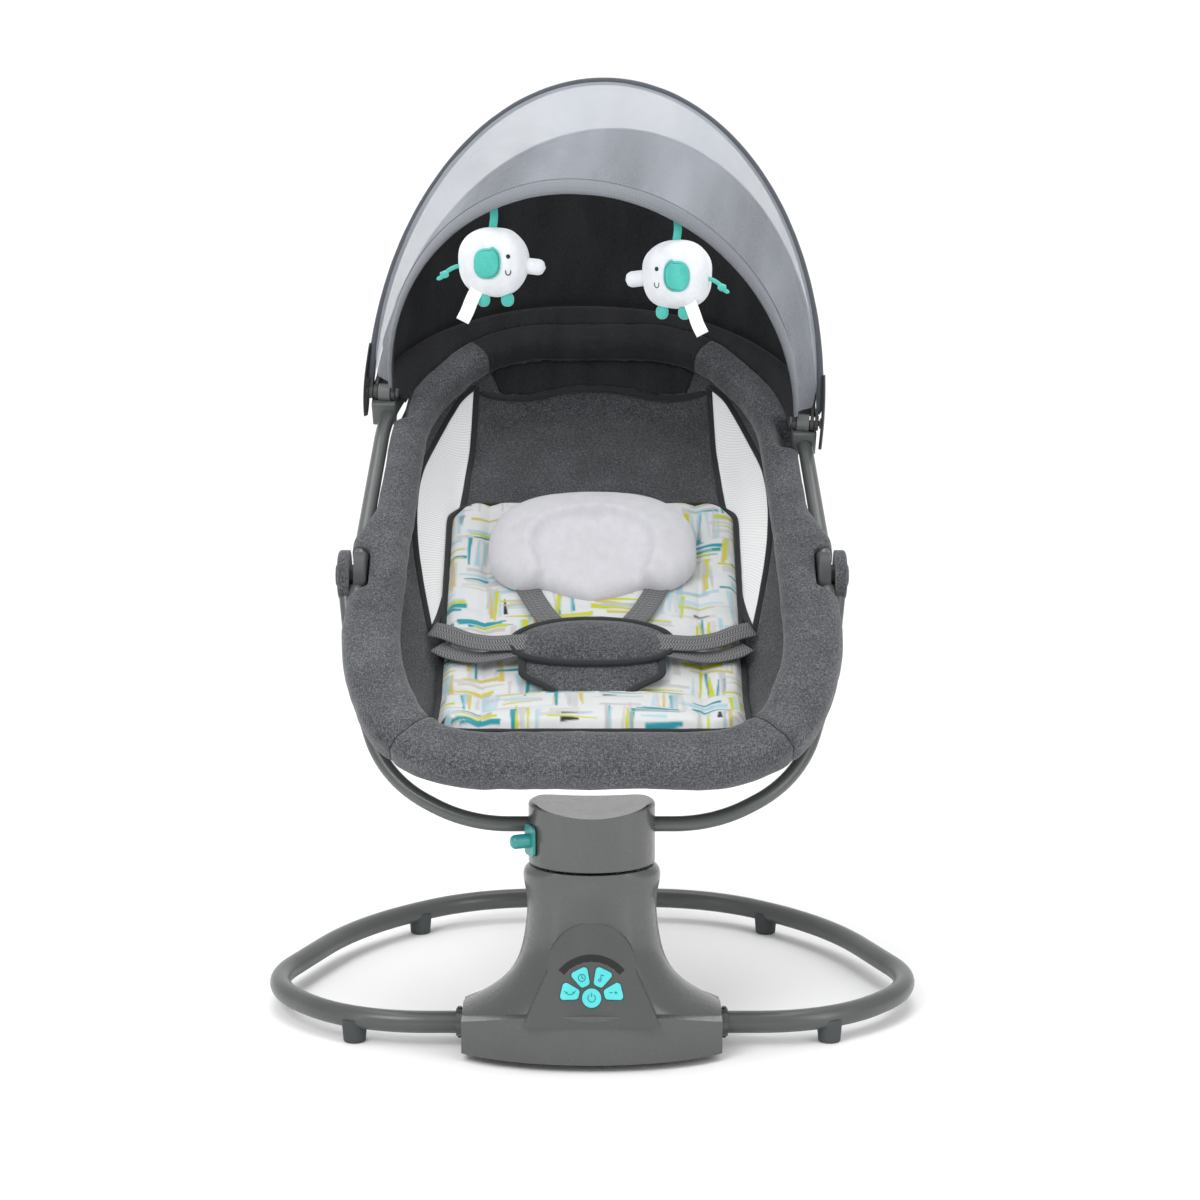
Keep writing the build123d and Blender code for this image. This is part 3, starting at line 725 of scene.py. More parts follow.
for side, s in (("right", 1), ("left", -1)):
    seam_round(f"rim_seam_foot_{side}", (s * 188, -240))
    seam_round(f"rim_seam_head_{side}", (s * 147, 400))

# ---- seat tub: walls and floor in one skin, open at the side windows
WINDOW_OUT = [(131, 343), (152, 312), (172, 262), (186, 205), (191, 150), (189, 95), (181, 40), (168, -22)]
WINDOW_IN = [(131, 343), (134, 300), (138, 250), (142, 200), (149, 150), (152, 95), (157, 40), (168, -22)]


def along_curve(points, t):
    """The place a share t of the way along a few points, smoothly."""
    x = t * (len(points) - 1)
    i = min(int(x), len(points) - 2)
    f = x - i
    p = [Vector(points[clamp(k, 0, len(points) - 1)]) for k in (i - 1, i, i + 1, i + 2)]
    return 0.5 * (
        (2 * p[1])
        + (p[2] - p[0]) * f
        + (2 * p[0] - 5 * p[1] + 4 * p[2] - p[3]) * f**2
        + (3 * p[1] - p[0] - 3 * p[2] + p[3]) * f**3
    )


def window_span(u):
    """The window's inner and outer v at a given u, or None beyond its tips."""
    if not -22 < u < 343:
        return None
    ends = []
    for line in (WINDOW_IN, WINDOW_OUT):
        for (v0, u0), (v1, u1) in zip(line, line[1:]):
            if u1 <= u <= u0:
                ends.append(mix(v0, v1, (u0 - u) / (u0 - u1)))
                break
    return ends


def gathered(v, u, depth):
    """How the head-end wall is drawn up in folds."""
    near = smooth(u, 318, 352) * (1 - smooth(depth, 88, 104))
    x = v * 0.33 + 2.1 * ripple(v * 0.012, 0, 0, 4)
    return near * (
        1.7 * math.sin(x) * (0.6 + 0.6 * ripple(v * 0.03, u * 0.01, 0, 5))
        + 1.4 * ripple(v * 0.05, u * 0.02, 0, 6)
    )


tub_rows = []
RINGS_WALL, RINGS_FLOOR = 14, 16
for i, c in enumerate(RAIL):
    out = rail_out(i) * RAIL_SIGN
    spine = Vector((0, clamp(c.y, -60, 190)))
    row = []
    for k in range(RINGS_WALL + RINGS_FLOOR + 1):
        if k <= RINGS_WALL:
            depth = mix(34, 92, k / RINGS_WALL)
            p = c - out * depth
        else:
            base = c - out * 92
            t = (k - RINGS_WALL) / RINGS_FLOOR
            p = base.lerp(spine, t)
            depth = 92 + 100 * t
        w = tub_w(p.x, p.y, depth)
        w = min(w, -14.0)
        w += 0.7 * ripple(p.x * 0.02, p.y * 0.02, 0, 8) + gathered(p.x, p.y, depth)
        row.append((p, w))
    tub_rows.append(row)
n, m = len(tub_rows), RINGS_WALL + RINGS_FLOOR + 1
verts = [seat_at(p.x, p.y, w) for row in tub_rows for p, w in row]
places = [(p.x, p.y) for row in tub_rows for p, w in row]
faces, cut = [], set()
for i in range(n):
    for j in range(m - 1):
        k = (i + 1) % n
        quad = (i * m + j, i * m + j + 1, k * m + j + 1, k * m + j)
        v = sum(abs(places[q][0]) for q in quad) / 4
        u = sum(places[q][1] for q in quad) / 4
        span = window_span(u)
        if span and span[0] + 1.0 < v < span[1] - 1.0:
            cut.update(quad)
            continue
        faces.append(quad)
# the cloth's cut edge follows the window's outline
for q in cut.intersection(q for quad in faces for q in quad):
    v, u = places[q]
    span = window_span(u)
    if span:
        near = min(span, key=lambda x: abs(x - abs(v)))
        v = math.copysign(near, v)
        verts[q] = seat_at(v, u, min(tub_w(v, u), -14.0) - 0.4)
tub = mesh_piece("seat_tub", verts, faces)
finish_piece(tub, "seat", "heather_dark", "heather_fabric", "seat_shell")
thicken(tub, 2.5, offset=1.0)


def panel_top(v):
    """Where the back panel's upper edge is at a given v."""
    return 336 + 27 * math.cos(0.5 * math.pi * clamp(v / 131, -1, 1)) ** 0.8


# the near-black wall at the head end, from the rim down to the panel
def wall_strip(name, u_from, key):
    rows = []
    for i, c in enumerate(RAIL):
        if c.y < u_from or abs(c.x) > 140:
            continue
        out = rail_out(i) * RAIL_SIGN
        deep = 40
        while deep < 78 and (c - out * deep).y > panel_top((c - out * deep).x) + 3:
            deep += 1
        if deep > 42:
            rows.append((math.atan2(c.x, c.y - u_from + 60), deep, c, out))
    rows.sort(key=lambda r: r[0])
    grid_rows = []
    for _, deep, c, out in rows:
        row = []
        for k in range(13):
            depth = mix(40, deep, k / 12)
            p = c - out * depth
            w = min(tub_w(p.x, p.y, depth), -14.0) + 1.6 + gathered(p.x, p.y, depth)
            row.append(seat_at(p.x, p.y, w))
        grid_rows.append(row)
    ob = grid(name, grid_rows, size=(0.06, 0.6))
    return finish_piece(ob, "seat", key, "canopy_dark_fabric")


head_wall = wall_strip("head_wall", 330, "lining")
thicken(head_wall, 0.8)

# ---- side windows
for side, s in (("right", 1), ("left", -1)):
    rows = []
    for a in range(61):
        t = a / 60
        inner, outer = along_curve(WINDOW_IN, t), along_curve(WINDOW_OUT, t)
        row = []
        for b in range(13):
            p = inner.lerp(outer, b / 12)
            w = min(tub_w(p.x, p.y), -14.0) + 0.6 - 1.2 * math.sin(math.pi * b / 12)
            row.append(seat_at(s * p.x, p.y, w))
        rows.append(row)
    pane = grid(
        f"side_window_{side}", rows if s > 0 else [list(reversed(r)) for r in rows], size=(0.05, 0.38)
    )
    finish_piece(pane, "seat", "window", "window_mesh", f"side_mesh_{side}")
    for which, line in (("outer", WINDOW_OUT), ("inner", WINDOW_IN)):
        pts = []
        for a in range(70):
            p = along_curve(line, a / 69)
            pts.append(seat_at(s * p.x, p.y, min(tub_w(p.x, p.y), -14.0) + 1.6))
        tape = sweep(
            f"window_tape_{which}_{side}", pts, SEAT.to_3x3() @ Vector((0, 0, 1)), 7.5, 3.4,
            segments=10, square=0.8, taper=2, jitter=0.08
        )
        finish_piece(tape, "seat", "binding", "heather_fabric")

# ---- back panel above the pad
def panel_w(v, u):
    edge = min(1 - abs(v) / 140, (panel_top(v) - u) / 160, 1.0)
    puff = 3.5 * math.sqrt(clamp(edge * 6)) if edge > 0 else 0
    return tub_w(v, u) + 1.2 + puff + 1.1 * ripple(v * 0.015, u * 0.02, 0, 9)


rows = []
for a in range(45):
    row = []
    for b in range(61):
        x = b / 30 - 1
        u = mix(170, panel_top(x * 131), a / 44)
        v = x * mix(143, 131, clamp((u - 190) / 157))
        row.append(seat_at(v, u, panel_w(v, u)))
    rows.append(row)
panel = grid("back_panel", rows, size=(0.28, 0.18))
finish_piece(panel, "seat", "heather_dark", "heather_fabric")
thicken(panel, 2.0, offset=-1.0)
top_edge = [Vector((v, panel_top(v))) for v in (mix(-131, 131, t / 40) for t in range(41))]
tape = sweep(
    "panel_tape_top",
    [seat_at(p.x, p.y, panel_w(p.x * 0.98, p.y - 2) + 2.4) for p in top_edge],
    SEAT.to_3x3() @ Vector((0, 0, 1)), 11.0, 5, segments=10, square=0.8, taper=2, jitter=0.1,
)
finish_piece(tape, "seat", "binding", "heather_fabric")

# ---- quilted pad
PAD_HALF = 154.0
PAD_ROUND = 34.0
PAD_LONG = 393.0
PAD_HEAD_U = 190.0
FOLD_Q = PAD_HEAD_U - FOLD_U
CHANNELS = [-112.0, 112.0]
CROSSINGS = [58.0, 118.0, 182.0, 246.0, 304.0, 352.0]


def pad_base(q):
    """Where the pad's underside is at q mm from its head end: (u, w, tilt)."""
    soft = 26.0
    tilt = -SLOPE * smooth(q, FOLD_Q - soft, FOLD_Q + soft)
    over = max(0.0, q - FOLD_Q)
    near = clamp((q - FOLD_Q + soft) / (2 * soft))
    u = PAD_HEAD_U - min(q, FOLD_Q) - over * math.cos(SLOPE)
    w = FLOOR_W + 1.2 + over * math.sin(SLOPE) + (2.0 * math.sin(math.pi * near) if 0 < near < 1 else 0)
    return u, w, tilt


def pad_outline(p, q):
    """How far inside the pad's rounded outline a place is."""
    r = PAD_ROUND
    dx, dy = abs(p) - (PAD_HALF - r), abs(q - PAD_LONG / 2) - (PAD_LONG / 2 - r)
    if dx > 0 and dy > 0:
        return r - math.hypot(dx, dy)
    return min(PAD_HALF - abs(p), PAD_LONG / 2 - abs(q - PAD_LONG / 2))


def pad_puff(p, q):
    """The stuffing's height over the pad's underside."""
    edge = clamp(pad_outline(p, q) / 16)
    high = 5.0 + 12.5 * math.sqrt(edge * (2 - edge))
    channel = min(abs(p - c) for c in CHANNELS)
    high -= 4.6 * math.exp(-((channel / 8.5) ** 2))
    for k, c in enumerate(CROSSINGS):
        wander = 4.0 * ripple(p * 0.02, k * 3.1, 0, 12)
        off = abs(q - c - wander)
        strong = 3.4 if abs(p) > 112 else 1.6 + 1.8 * math.exp(-((abs(p) - 112) / 30) ** 2)
        high -= strong * math.exp(-((off / 8.0) ** 2))
    high += 1.4 * ripple(p * 0.022, q * 0.022, 0, 13) + 0.8 * ripple(p * 0.06, q * 0.05, 0, 14)
    return max(2.0, high) if edge > 0 else 1.5


def squared(x, y):
    """A place in a disc-like square moved inside the pad's rounded corners."""
    p, q = x * PAD_HALF, PAD_LONG / 2 + y * PAD_LONG / 2
    r = PAD_ROUND
    dx, dy = abs(p) - (PAD_HALF - r), abs(q - PAD_LONG / 2) - (PAD_LONG / 2 - r)
    if dx > 0 and dy > 0:
        reach = math.hypot(dx, dy)
        most = max(dx, dy)
        k = most / reach
        p = math.copysign(PAD_HALF - r + dx * k, p)
        q = PAD_LONG / 2 + math.copysign(PAD_LONG / 2 - r + dy * k, y)
    return p, q


def pad_point(p, q, high):
    u, w, tilt = pad_base(q)
    if abs(p) > 118:
        w = max(w, tub_w(p, u) + 1.5)
    return seat_at(p, u + high * math.sin(-tilt), w + high * math.cos(tilt))


COARSE_X, COARSE_Y = 46, 68
top = []
for j in range(COARSE_Y + 1):
    for i in range(COARSE_X + 1):
        p, q = squared(2 * i / COARSE_X - 1, 2 * j / COARSE_Y - 1)
        top.append((p, q))
full = COARSE_X + 1
verts = [
    pad_point(p, q, max(2.0, pad_puff(p, q) - 3.0)) for p, q in top
] + [pad_point(p, q, 0.4) for p, q in top]
shift = len(top)
faces = []
for j in range(COARSE_Y):
    for i in range(COARSE_X):
        a = j * full + i
        faces.append((a, a + full, a + full + 1, a + 1))
        faces.append((shift + a, shift + a + 1, shift + a + full + 1, shift + a + full))
rim_ids = (
    list(range(full))
    + [j * full + COARSE_X for j in range(1, COARSE_Y + 1)]
    + [COARSE_Y * full + i for i in range(COARSE_X - 1, -1, -1)]
    + [j * full for j in range(COARSE_Y - 1, 0, -1)]
)
for a, b in zip(rim_ids, rim_ids[1:] + rim_ids[:1]):
    faces.append((a, b, shift + b, shift + a))
coarse = mesh_piece("pad_core", verts, faces)
pins = [k for k, (p, q) in enumerate(top) if pad_outline(p, q) < 3 or min(abs(p - c) for c in CHANNELS) < 3.2]
pins += [k for k, (p, q) in enumerate(top) if abs(p) > 112 and min(abs(q - c) for c in CROSSINGS) < 3.1]
pins += list(range(shift, 2 * shift))
inflate(coarse, pressure=5.0, frames=16, cap=9.0, pins=pins)
swollen = [v.co.copy() for v in coarse.data.vertices][:shift]
bpy.data.objects.remove(coarse)

FINE = 5


def pad_surface(x, y):
    """The swollen pad's face, read smoothly from the coarse one."""
    fx, fy = clamp(x, 0, 0.99999) * COARSE_X, clamp(y, 0, 0.99999) * COARSE_Y
    i, j = int(fx), int(fy)
    fx, fy = fx - i, fy - j

    def at(a, b):
        return swollen[clamp(b, 0, COARSE_Y) * full + clamp(a, 0, COARSE_X)]

    def four(a, b, c, d, t):
        return 0.5 * (
            (2 * b) + (c - a) * t + (2 * a - 5 * b + 4 * c - d) * t * t + (3 * b - a - 3 * c + d) * t**3
        )

    lines = [
        four(at(i - 1, j + k), at(i, j + k), at(i + 1, j + k), at(i + 2, j + k), fx) for k in (-1, 0, 1, 2)
    ]
    return four(*lines, fy)


# the print: loose brush strokes in groups that turn from one block to the next
INKS = {
    "teal": tone(34, 138, 150)[:3],
    "lime": tone(184, 187, 44)[:3],
    "sky": tone(138, 184, 198)[:3],
    "sand": tone(178, 174, 167)[:3],
    "grey": tone(170, 172, 175)[:3],
    "gold": tone(190, 174, 98)[:3],
    "ink": tone(40, 42, 52)[:3],
}
GROUND = tone(203, 205, 206)[:3]
PRINT_BLOCK = 46.0


def make_strokes(seed):
    rnd = random.Random(seed)
    strokes = []
    for r in range(11):
        for c in range(8):
            cx, cy = (c - 3.5) * PRINT_BLOCK + rnd.uniform(-5, 5), r * PRINT_BLOCK * 0.92 + rnd.uniform(-5, 5)
            lying = (r + c) % 2 == 0
            for _ in range(8):
                kind = rnd.choices(
                    ["teal", "lime", "sky", "sand", "grey", "gold", "ink"],
                    [2.2, 2.2, 3.2, 3.2, 2.6, 1.0, 0.45],
                )[0]
                off = rnd.uniform(-21, 21)
                long = rnd.uniform(26, 54) if kind != "ink" else rnd.uniform(14, 24)
                wide = rnd.uniform(1.4, 3.6) if kind in ("teal", "lime", "gold") else rnd.uniform(1.6, 4.2)
                lean = rnd.uniform(-0.09, 0.09)
                slide = rnd.uniform(-8, 8)
                strokes.append(
                    (
                        cx, cy, lying, off, long, wide, lean, slide, kind,
                        rnd.uniform(0.6, 1.0), rnd.choice((-1, 1))
                    )
                )
    return strokes


STROKES = make_strokes(23)
BINS = {}
for stroke in STROKES:
    for bx in (-1, 0, 1):
        for by in (-1, 0, 1):
            BINS.setdefault(
                (round(stroke[0] / PRINT_BLOCK) + bx, round(stroke[1] / PRINT_BLOCK) + by), []
            ).append(stroke)


def print_colour(p, q):
    colour = GROUND
    for cx, cy, lying, off, long, wide, lean, slide, kind, strength, taper in BINS.get(
        (round(p / PRINT_BLOCK), round(q / PRINT_BLOCK)), ()
    ):
        x, y = p - cx, q - cy
        along, across = (x, y) if lying else (y, x)
        along -= slide
        if abs(along) > long / 2:
            continue
        t = along / long + 0.5
        body = wide * (0.35 + 0.65 * (t if taper > 0 else 1 - t))
        gap = abs(across - off - lean * along - 0.8 * ripple(along * 0.06, off, cx, 15))
        cover = (1 - smooth(gap, body - 0.7, body + 0.7)) * (1 - smooth(abs(along), long / 2 - 1.5, long / 2))
        if kind in ("sky", "sand", "grey"):
            cover *= 0.75 * strength
        colour = tuple(mix(a, b, cover) for a, b in zip(colour, INKS[kind]))
    return colour


cols, rowsn = COARSE_X * FINE, COARSE_Y * FINE
rows, colours = [], []
for j in range(rowsn + 1):
    row = []
    for i in range(cols + 1):
        x, y = i / cols, j / rowsn
        p, q = squared(2 * x - 1, 2 * y - 1)
        base = pad_surface(x, y)
        stitch = min(abs(p - c) for c in CHANNELS)
        down = 0.8 * math.exp(-((stitch / 1.6) ** 2))
        row.append(base - SEAT.to_3x3() @ Vector((0, 0, down * MM)))
        colours.append(print_colour(p, q) + (1.0,))
    rows.append(row)
pad = grid("quilted_pad", rows, size=(0.276, 0.408))
layer = pad.data.color_attributes.new("print", "FLOAT_COLOR", "POINT")
layer.data.foreach_set("color", [x for c in colours for x in c])
finish_piece(pad, "seat", "print", "pad_fabric", "seat_pad")
thicken(pad, 2.0, offset=1.0)

edge_pts = []
for k in range(240):
    a = 2 * math.pi * k / 240
    x, y = math.cos(a), math.sin(a)
    reach = max(abs(x), abs(y))
    p, q = squared(x / reach, y / reach)
    edge_pts.append(pad_point(p * 1.012, PAD_LONG / 2 + (q - PAD_LONG / 2) * 1.006, 2.6))
edge_pts = even(edge_pts, 0.0045, True)
pad_tape = sweep(
    "pad_tape", edge_pts, SEAT.to_3x3() @ Vector((0, 0, 1)), 6.5, 5.5, closed=True, square=0.85,
    segments=12, jitter=0.1
)
finish_piece(pad_tape, "seat", "binding", "pad_fabric")


# ---- cushions shaped from an outline: crowned
def cushion(name, outline, crown, base_w, rings=26, around=168):
    """outline(a) gives the edge at angle a as (v, u) from centre; crown(v, u, r) the height over base_w."""
    (cv, cu) = outline[0]
    rows = []
    for k in range(rings + 1):
        r = math.sin(0.5 * math.pi * k / rings)
        row = []
        for j in range(around):
            ev, eu = outline[1](2 * math.pi * j / around)
            v, u = cv + ev * r, cu + eu * r
            row.append(seat_at(v, u, base_w + crown(v, u, r)))
        rows.append(row)
    under = []
    for k in range(rings - 1, 3, -4):
        r = math.sin(0.5 * math.pi * k / rings)
        row = []
        for j in range(around):
            ev, eu = outline[1](2 * math.pi * j / around)
            row.append(seat_at(cv + ev * r, cu + eu * r, base_w - 1.2 * (1 - r)))
        under.append(row)
    return grid(name, rows + under, wrap_cols=True)


def pillow_edge(a):
    x, y = math.cos(a), math.sin(a)
    v = 111.0 * power(x, 0.82)
    u = 82.0 * power(y, 0.78)
    if u < 0:
        lobe = -78.0 * power(-y, 0.5)
        # two lobes, a scallop inside each and a point in the middle
        scallop = 11.0 * math.exp(-(((abs(v) - 52) / 19) ** 2)) - 7.0 * math.exp(-((v / 18) ** 2))
        u = mix(u, lobe, 0.55) + scallop + 5.0 * math.exp(-((v / 40) ** 2))
    return v, u


def pillow_crown(v, u, r):
    edge = math.sqrt(clamp(1 - r**5))
    x, y = v, u - 102
    dish = (x / 64) ** 2 + ((y + 8) / 46) ** 2 if y > -8 else (x / 64) ** 2 + ((y + 8) / 90) ** 2
    sunk = 1 - smooth(dish, 0.86, 1.06)
    high = 27.0 * edge
    high -= 10.0 * sunk * edge
    high += 2.0 * math.exp(-(((math.sqrt(max(dish, 0)) - 1.12) / 0.12) ** 2)) * edge
    high += 2.2 * sunk * (1 - math.exp(-((x / 10) ** 2))) * edge
    a = math.atan2(y, x)
    high += (
        0.9 * ripple(math.cos(a) * 3.5, math.sin(a) * 3.5, r * 0.8, 20)
        + 0.5 * ripple(math.cos(a) * 9, math.sin(a) * 9, r, 21)
    ) * smooth(r, 0.35, 0.8) * edge
    return max(0.0, high) + 0.7 * ripple(v * 0.03, u * 0.03, 0, 22) * edge


pillow = cushion("head_cushion", ((0.0, 102.0), pillow_edge), pillow_crown, -57.5)
inflate(pillow, pressure=1.6, frames=10, cap=3.0, bend=1.5, tension=25)
finish_piece(pillow, "seat", "plush", "white_plush", "head_pillow")
subdivide(pillow)

# ---- harness
UP_SEAT = SEAT.to_3x3() @ Vector((0, 0, 1))


def strap(name, places, wide=24.0, thick=1.5, up=None):
    pts = curve_through([seat_at(*p) for p in places], 0.004)
    ob = ribbon(name, pts, up or UP_SEAT, wide, thick)
    return finish_piece(ob, "seat", "webbing", "webbing")


for side, s in (("right", 1), ("left", -1)):
    strap(
        f"shoulder_strap_{side}",
        [(s * 78, 62, -57), (s * 66, 34, -56), (s * 53, 4, -54), (s * 40, -22, -49), (s * 36, -36, -46)]
    )
    strap(
        f"waist_strap_upper_{side}",
        [
            (s * 166, -22, -56), (s * 150, -30, -53), (s * 128, -42, -52), (s * 104, -51, -48),
            (s * 82, -55, -43), (s * 66, -56, -41)
        ],
        wide=21.0,
        up=SEAT.to_3x3() @ Vector((-s * 0.12, -0.1, 1)),
    )
    strap(
        f"waist_strap_lower_{side}",
        [
            (s * 160, -44, -60), (s * 144, -56, -58), (s * 118, -64, -56), (s * 92, -65, -50),
            (s * 72, -62, -46)
        ],
        wide=21.0,
        up=SEAT.to_3x3() @ Vector((s * 0.05, 0.25, 1)),
    )
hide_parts("shoulder_straps")
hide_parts("waist_straps")


def oval_edge(half, long, p=0.9):
    return lambda a: (half * power(math.cos(a), p), long * power(math.sin(a), p))


COVER_AT = (0.0, -54.0)


def cover_crown(v, u, r):
    lift = 2.0 + 9.5 * (1 - r**2.6) - 0.0009 * v * v * 0.6
    return lift + 0.5 * ripple(v * 0.05, u * 0.05, 0, 30)


cover = cushion("buckle_pad", (COVER_AT, oval_edge(82, 31)), cover_crown, -43.5)
inflate(cover, pressure=1.5, frames=8, cap=2.0, bend=2, tension=25)
finish_piece(cover, "seat", "heather", "heather_fabric", "buckle_cover")
edge_pts = []
for k in range(160):
    v, u = oval_edge(82.5, 31.5)(2 * math.pi * k / 160)
    edge_pts.append(seat_at(v, u - 54, -42.0 - 0.0005 * v * v))
cover_tape = sweep(
    "buckle_pad_tape", even(edge_pts, 0.003, True), UP_SEAT, 8.0, 5.5, closed=True, square=0.85,
    segments=12, jitter=0.08
)
finish_piece(cover_tape, "seat", "binding", "heather_fabric")

# the crotch pad: a T whose arms go up under the buckle pad
def crotch_half(u):
    """Half its width at u."""
    return mix(33, 70, smooth(u, -124, -92) ** 1.3)


rows = []
for a in range(40):
    u = mix(-142, -62, a / 39)
    half = crotch_half(u)
    row = []
    for b in range(41):
        x = b / 20 - 1
        puff = 4.5 * (1 - abs(x) ** 4)
        lift = mix(-57.5, -49.0, smooth(u, -142, -84))
        row.append(seat_at(x * half, u, lift + puff + 0.5 * ripple(x * 2, u * 0.05, 0, 31)))
    rows.append(row)
crotch = grid("crotch_piece", rows, size=(0.14, 0.08))
finish_piece(crotch, "seat", "heather", "heather_fabric", "crotch_pad")
thicken(crotch, 2.0, offset=-1.0)
for side, s in (("right", 1), ("left", -1)):
    pts = []
    for t in range(41):
        u = mix(-143, -66, t / 40)
        pts.append(seat_at(s * (crotch_half(u) + 1), u, mix(-56.5, -48.0, smooth(u, -142, -84))))
    tape = sweep(
        f"crotch_tape_{side}", even(pts, 0.003), UP_SEAT, 8.5, 4.0, square=0.85, taper=1.5,
        segments=10, jitter=0.08
    )
    finish_piece(tape, "seat", "binding", "heather_fabric")


# ---- canopy
def rim_outside(p):
    """The place on the rim's top, inside its tube, nearest to a point."""
    i = min(range(len(RAIL)), key=lambda k: (seat_at(RAIL[k].x, RAIL[k].y, 0) - p).length_squared)
    q = RAIL[i] - rail_out(i) * RAIL_SIGN * 15.0
    return seat_at(q.x, q.y, 9.0)


def canopy_sheet(
    name, first, second, lift, sag, folds, rows_n=40, cols_n=150, start=lambda t: 3.0, to_rim=False
):
    """Cloth from one hoop to the next, drawn in a little between them, with soft folds."""
    rows = []
    for a in range(rows_n + 1):
        t = a / rows_n
        row = []
        begin = start(t)
        for b in range(cols_n + 1):
            phi = mix(begin, 180 - begin, b / cols_n)
            lean0, a0, h0 = first
            lean1, a1, h1 = second
            lean = mix(lean0, lean1, t)
            # the straight line between the hoops, a little inside their arc
            p0, p1 = hoop_at(first, phi, lift), hoop_at(second, phi, lift)
            flat = p0.lerp(p1, t)
            round_ = hoop_at((lean, mix(a0, a1, t), mix(h0, h1, t)), phi, lift)
            p = flat.lerp(round_, 0.25)
            inward = (CANOPY @ Vector((0, 0, 0.05)) - p).normalized()
            arch = math.sin(math.pi * t)
            move = sag * arch * math.sin(math.radians(phi)) ** 0.5 + folds(t, phi) * arch
            row.append(p + inward * move * MM)
        rows.append(row)
    if to_rim:
        ends = [rim_outside(p) for p in rows[-1]]
        last = rows[-1]
        for k in range(1, 9):
            rows.append(
                [a.lerp(b, k / 8) + UP_SEAT * (0.009 * math.sin(math.pi * k / 8)) for a, b in zip(last, ends)]
            )
    return grid(name, rows, size=(1.05, 0.3))


def front_folds(t, phi):
    """A few soft diagonal drags that start on the left of the top."""
    h = 0.0
    for at, slope, wide, deep in (
        (112, 34, 4.5, 4.0), (104, 52, 3.0, 3.2), (96, -30, 5.0, 2.5), (128, 20, 5.0, 3.0),
        (66, -22, 6.0, 2.2)
    ):
        off = phi - (at + slope * (t - 0.5))
        h += deep * (math.exp(-((off / wide) ** 2)) - 0.6 * math.exp(-(((off - 1.8 * wide) / wide) ** 2)))
    return h + 1.6 * ripple(phi * 0.05, t * 2.2, 0, 40) + 0.8 * ripple(phi * 0.16, t * 3, 0, 41)


def rear_folds(t, phi):
    return 2.2 * ripple(phi * 0.07, t * 1.5, 0, 42) + 1.2 * math.exp(-(((phi - 70 - 20 * t) / 4) ** 2)) * 2


def skirt_folds(t, phi):
    x = phi * 0.52 + 2.4 * ripple(phi * 0.04, t * 0.6, 0, 43)
    return 2.4 * math.sin(x) * (
        0.5 + 0.8 * ripple(phi * 0.09, t, 0, 44)
    ) + 2.0 * ripple(phi * 0.12, t * 1.6, 0, 45)


mesh_front = canopy_sheet(
    "canopy_front_net", FRONT_HOOP, MIDDLE_HOOP, 4.2, 9.0, front_folds,
    start=lambda t: mix(3.0, 8.5, smooth(t, 0.6, 1.0))
)
paint(mesh_front, "net")
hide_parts("canopy_mesh_front")
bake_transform(mesh_front)
mesh_rear = canopy_sheet("canopy_rear_net", (0.6, 243.5, 346.0), REAR_HOOP, 4.2, 7.0, rear_folds)
paint(mesh_rear, "net")
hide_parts("canopy_mesh_rear")
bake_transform(mesh_rear)
LINING_FOOT = (62.0, 238.5, 208.0)
skirt = canopy_sheet(
    "canopy_lining", REAR_HOOP, LINING_FOOT, 4.6, 5.0, skirt_folds, rows_n=50, cols_n=220,
    start=lambda t: mix(10.0, 3.0, smooth(t, 0.0, 0.6)), to_rim=True
)
finish_piece(skirt, "seat", "lining", "canopy_dark_fabric", "canopy_skirt")
thicken(skirt, 1.0, offset=0.0, second=MAT["lining_grey"])

# sleeves that hold the hoops
def hoop_line(hoop, lift, start=1.5, step=0.006, along=0.0):
    pts = [hoop_at(hoop, mix(start, 180 - start, k / 260), lift, along) for k in range(261)]
    return even(pts, step)


def hoop_sleeve(name, hoop, body, wide, high, lift, key, slot, along=0.0, segments=16, square=0.7, start=1.5):
    pts = hoop_line(hoop, lift, start=start, along=along)
    centre = CANOPY @ Vector((0, 0, 0.02))
    ob = sweep(
        name, pts, lambda i: (pts[i] - centre).normalized(), wide, high, square=square,
        segments=segments, taper=2, jitter=0.05
    )
    return finish_piece(ob, body, key, slot)


hoop_sleeve("sleeve_middle", MIDDLE_HOOP, "canopy_middle", 13.0, 8.0, 2.2, "hoop_tape", "hoop_plastic")
hoop_sleeve("sleeve_rear", REAR_HOOP, "seat", 13.0, 7.0, 2.0, "lining", "canopy_dark_fabric", start=17.0)
hoop_sleeve("sleeve_front", FRONT_HOOP, "canopy_front", 16.5, 5.4, 1.6, "net_hem", "canopy_mesh", along=1.5)
hoop_sleeve(
    "hem_line_front", FRONT_HOOP, "canopy_front", 1.4, 1.4, 4.0, "net_hem", "canopy_mesh", along=10.5,
    segments=8, square=1.0, start=14.0
)

# dark corner tabs at the foot of the middle hoop
for side, s in (("right", 1), ("left", -1)):
    rows = []
    for a in range(17):
        t = a / 16
        row = []
        for b in range(11):
            x = b / 5 - 1
            phi = mix(-4.5, 8.5, t)
            phi = phi if s > 0 else 180 - phi
            half = 15.0 * math.sqrt(
                clamp(1 - (max(0.0, 0.42 - t) / 0.44) ** 2)
            ) * mix(1.0, 0.55, smooth(t, 0.45, 1.0))
            row.append(hoop_at(MIDDLE_HOOP, phi, 5.6 + 1.5 * (1 - x * x), along=x * half))
        rows.append(row)
    tab = grid(f"canopy_tab_{side}", rows, size=(0.03, 0.05))
    finish_piece(tab, "canopy_middle", "binding", "hoop_plastic")
    thicken(tab, 2.2)

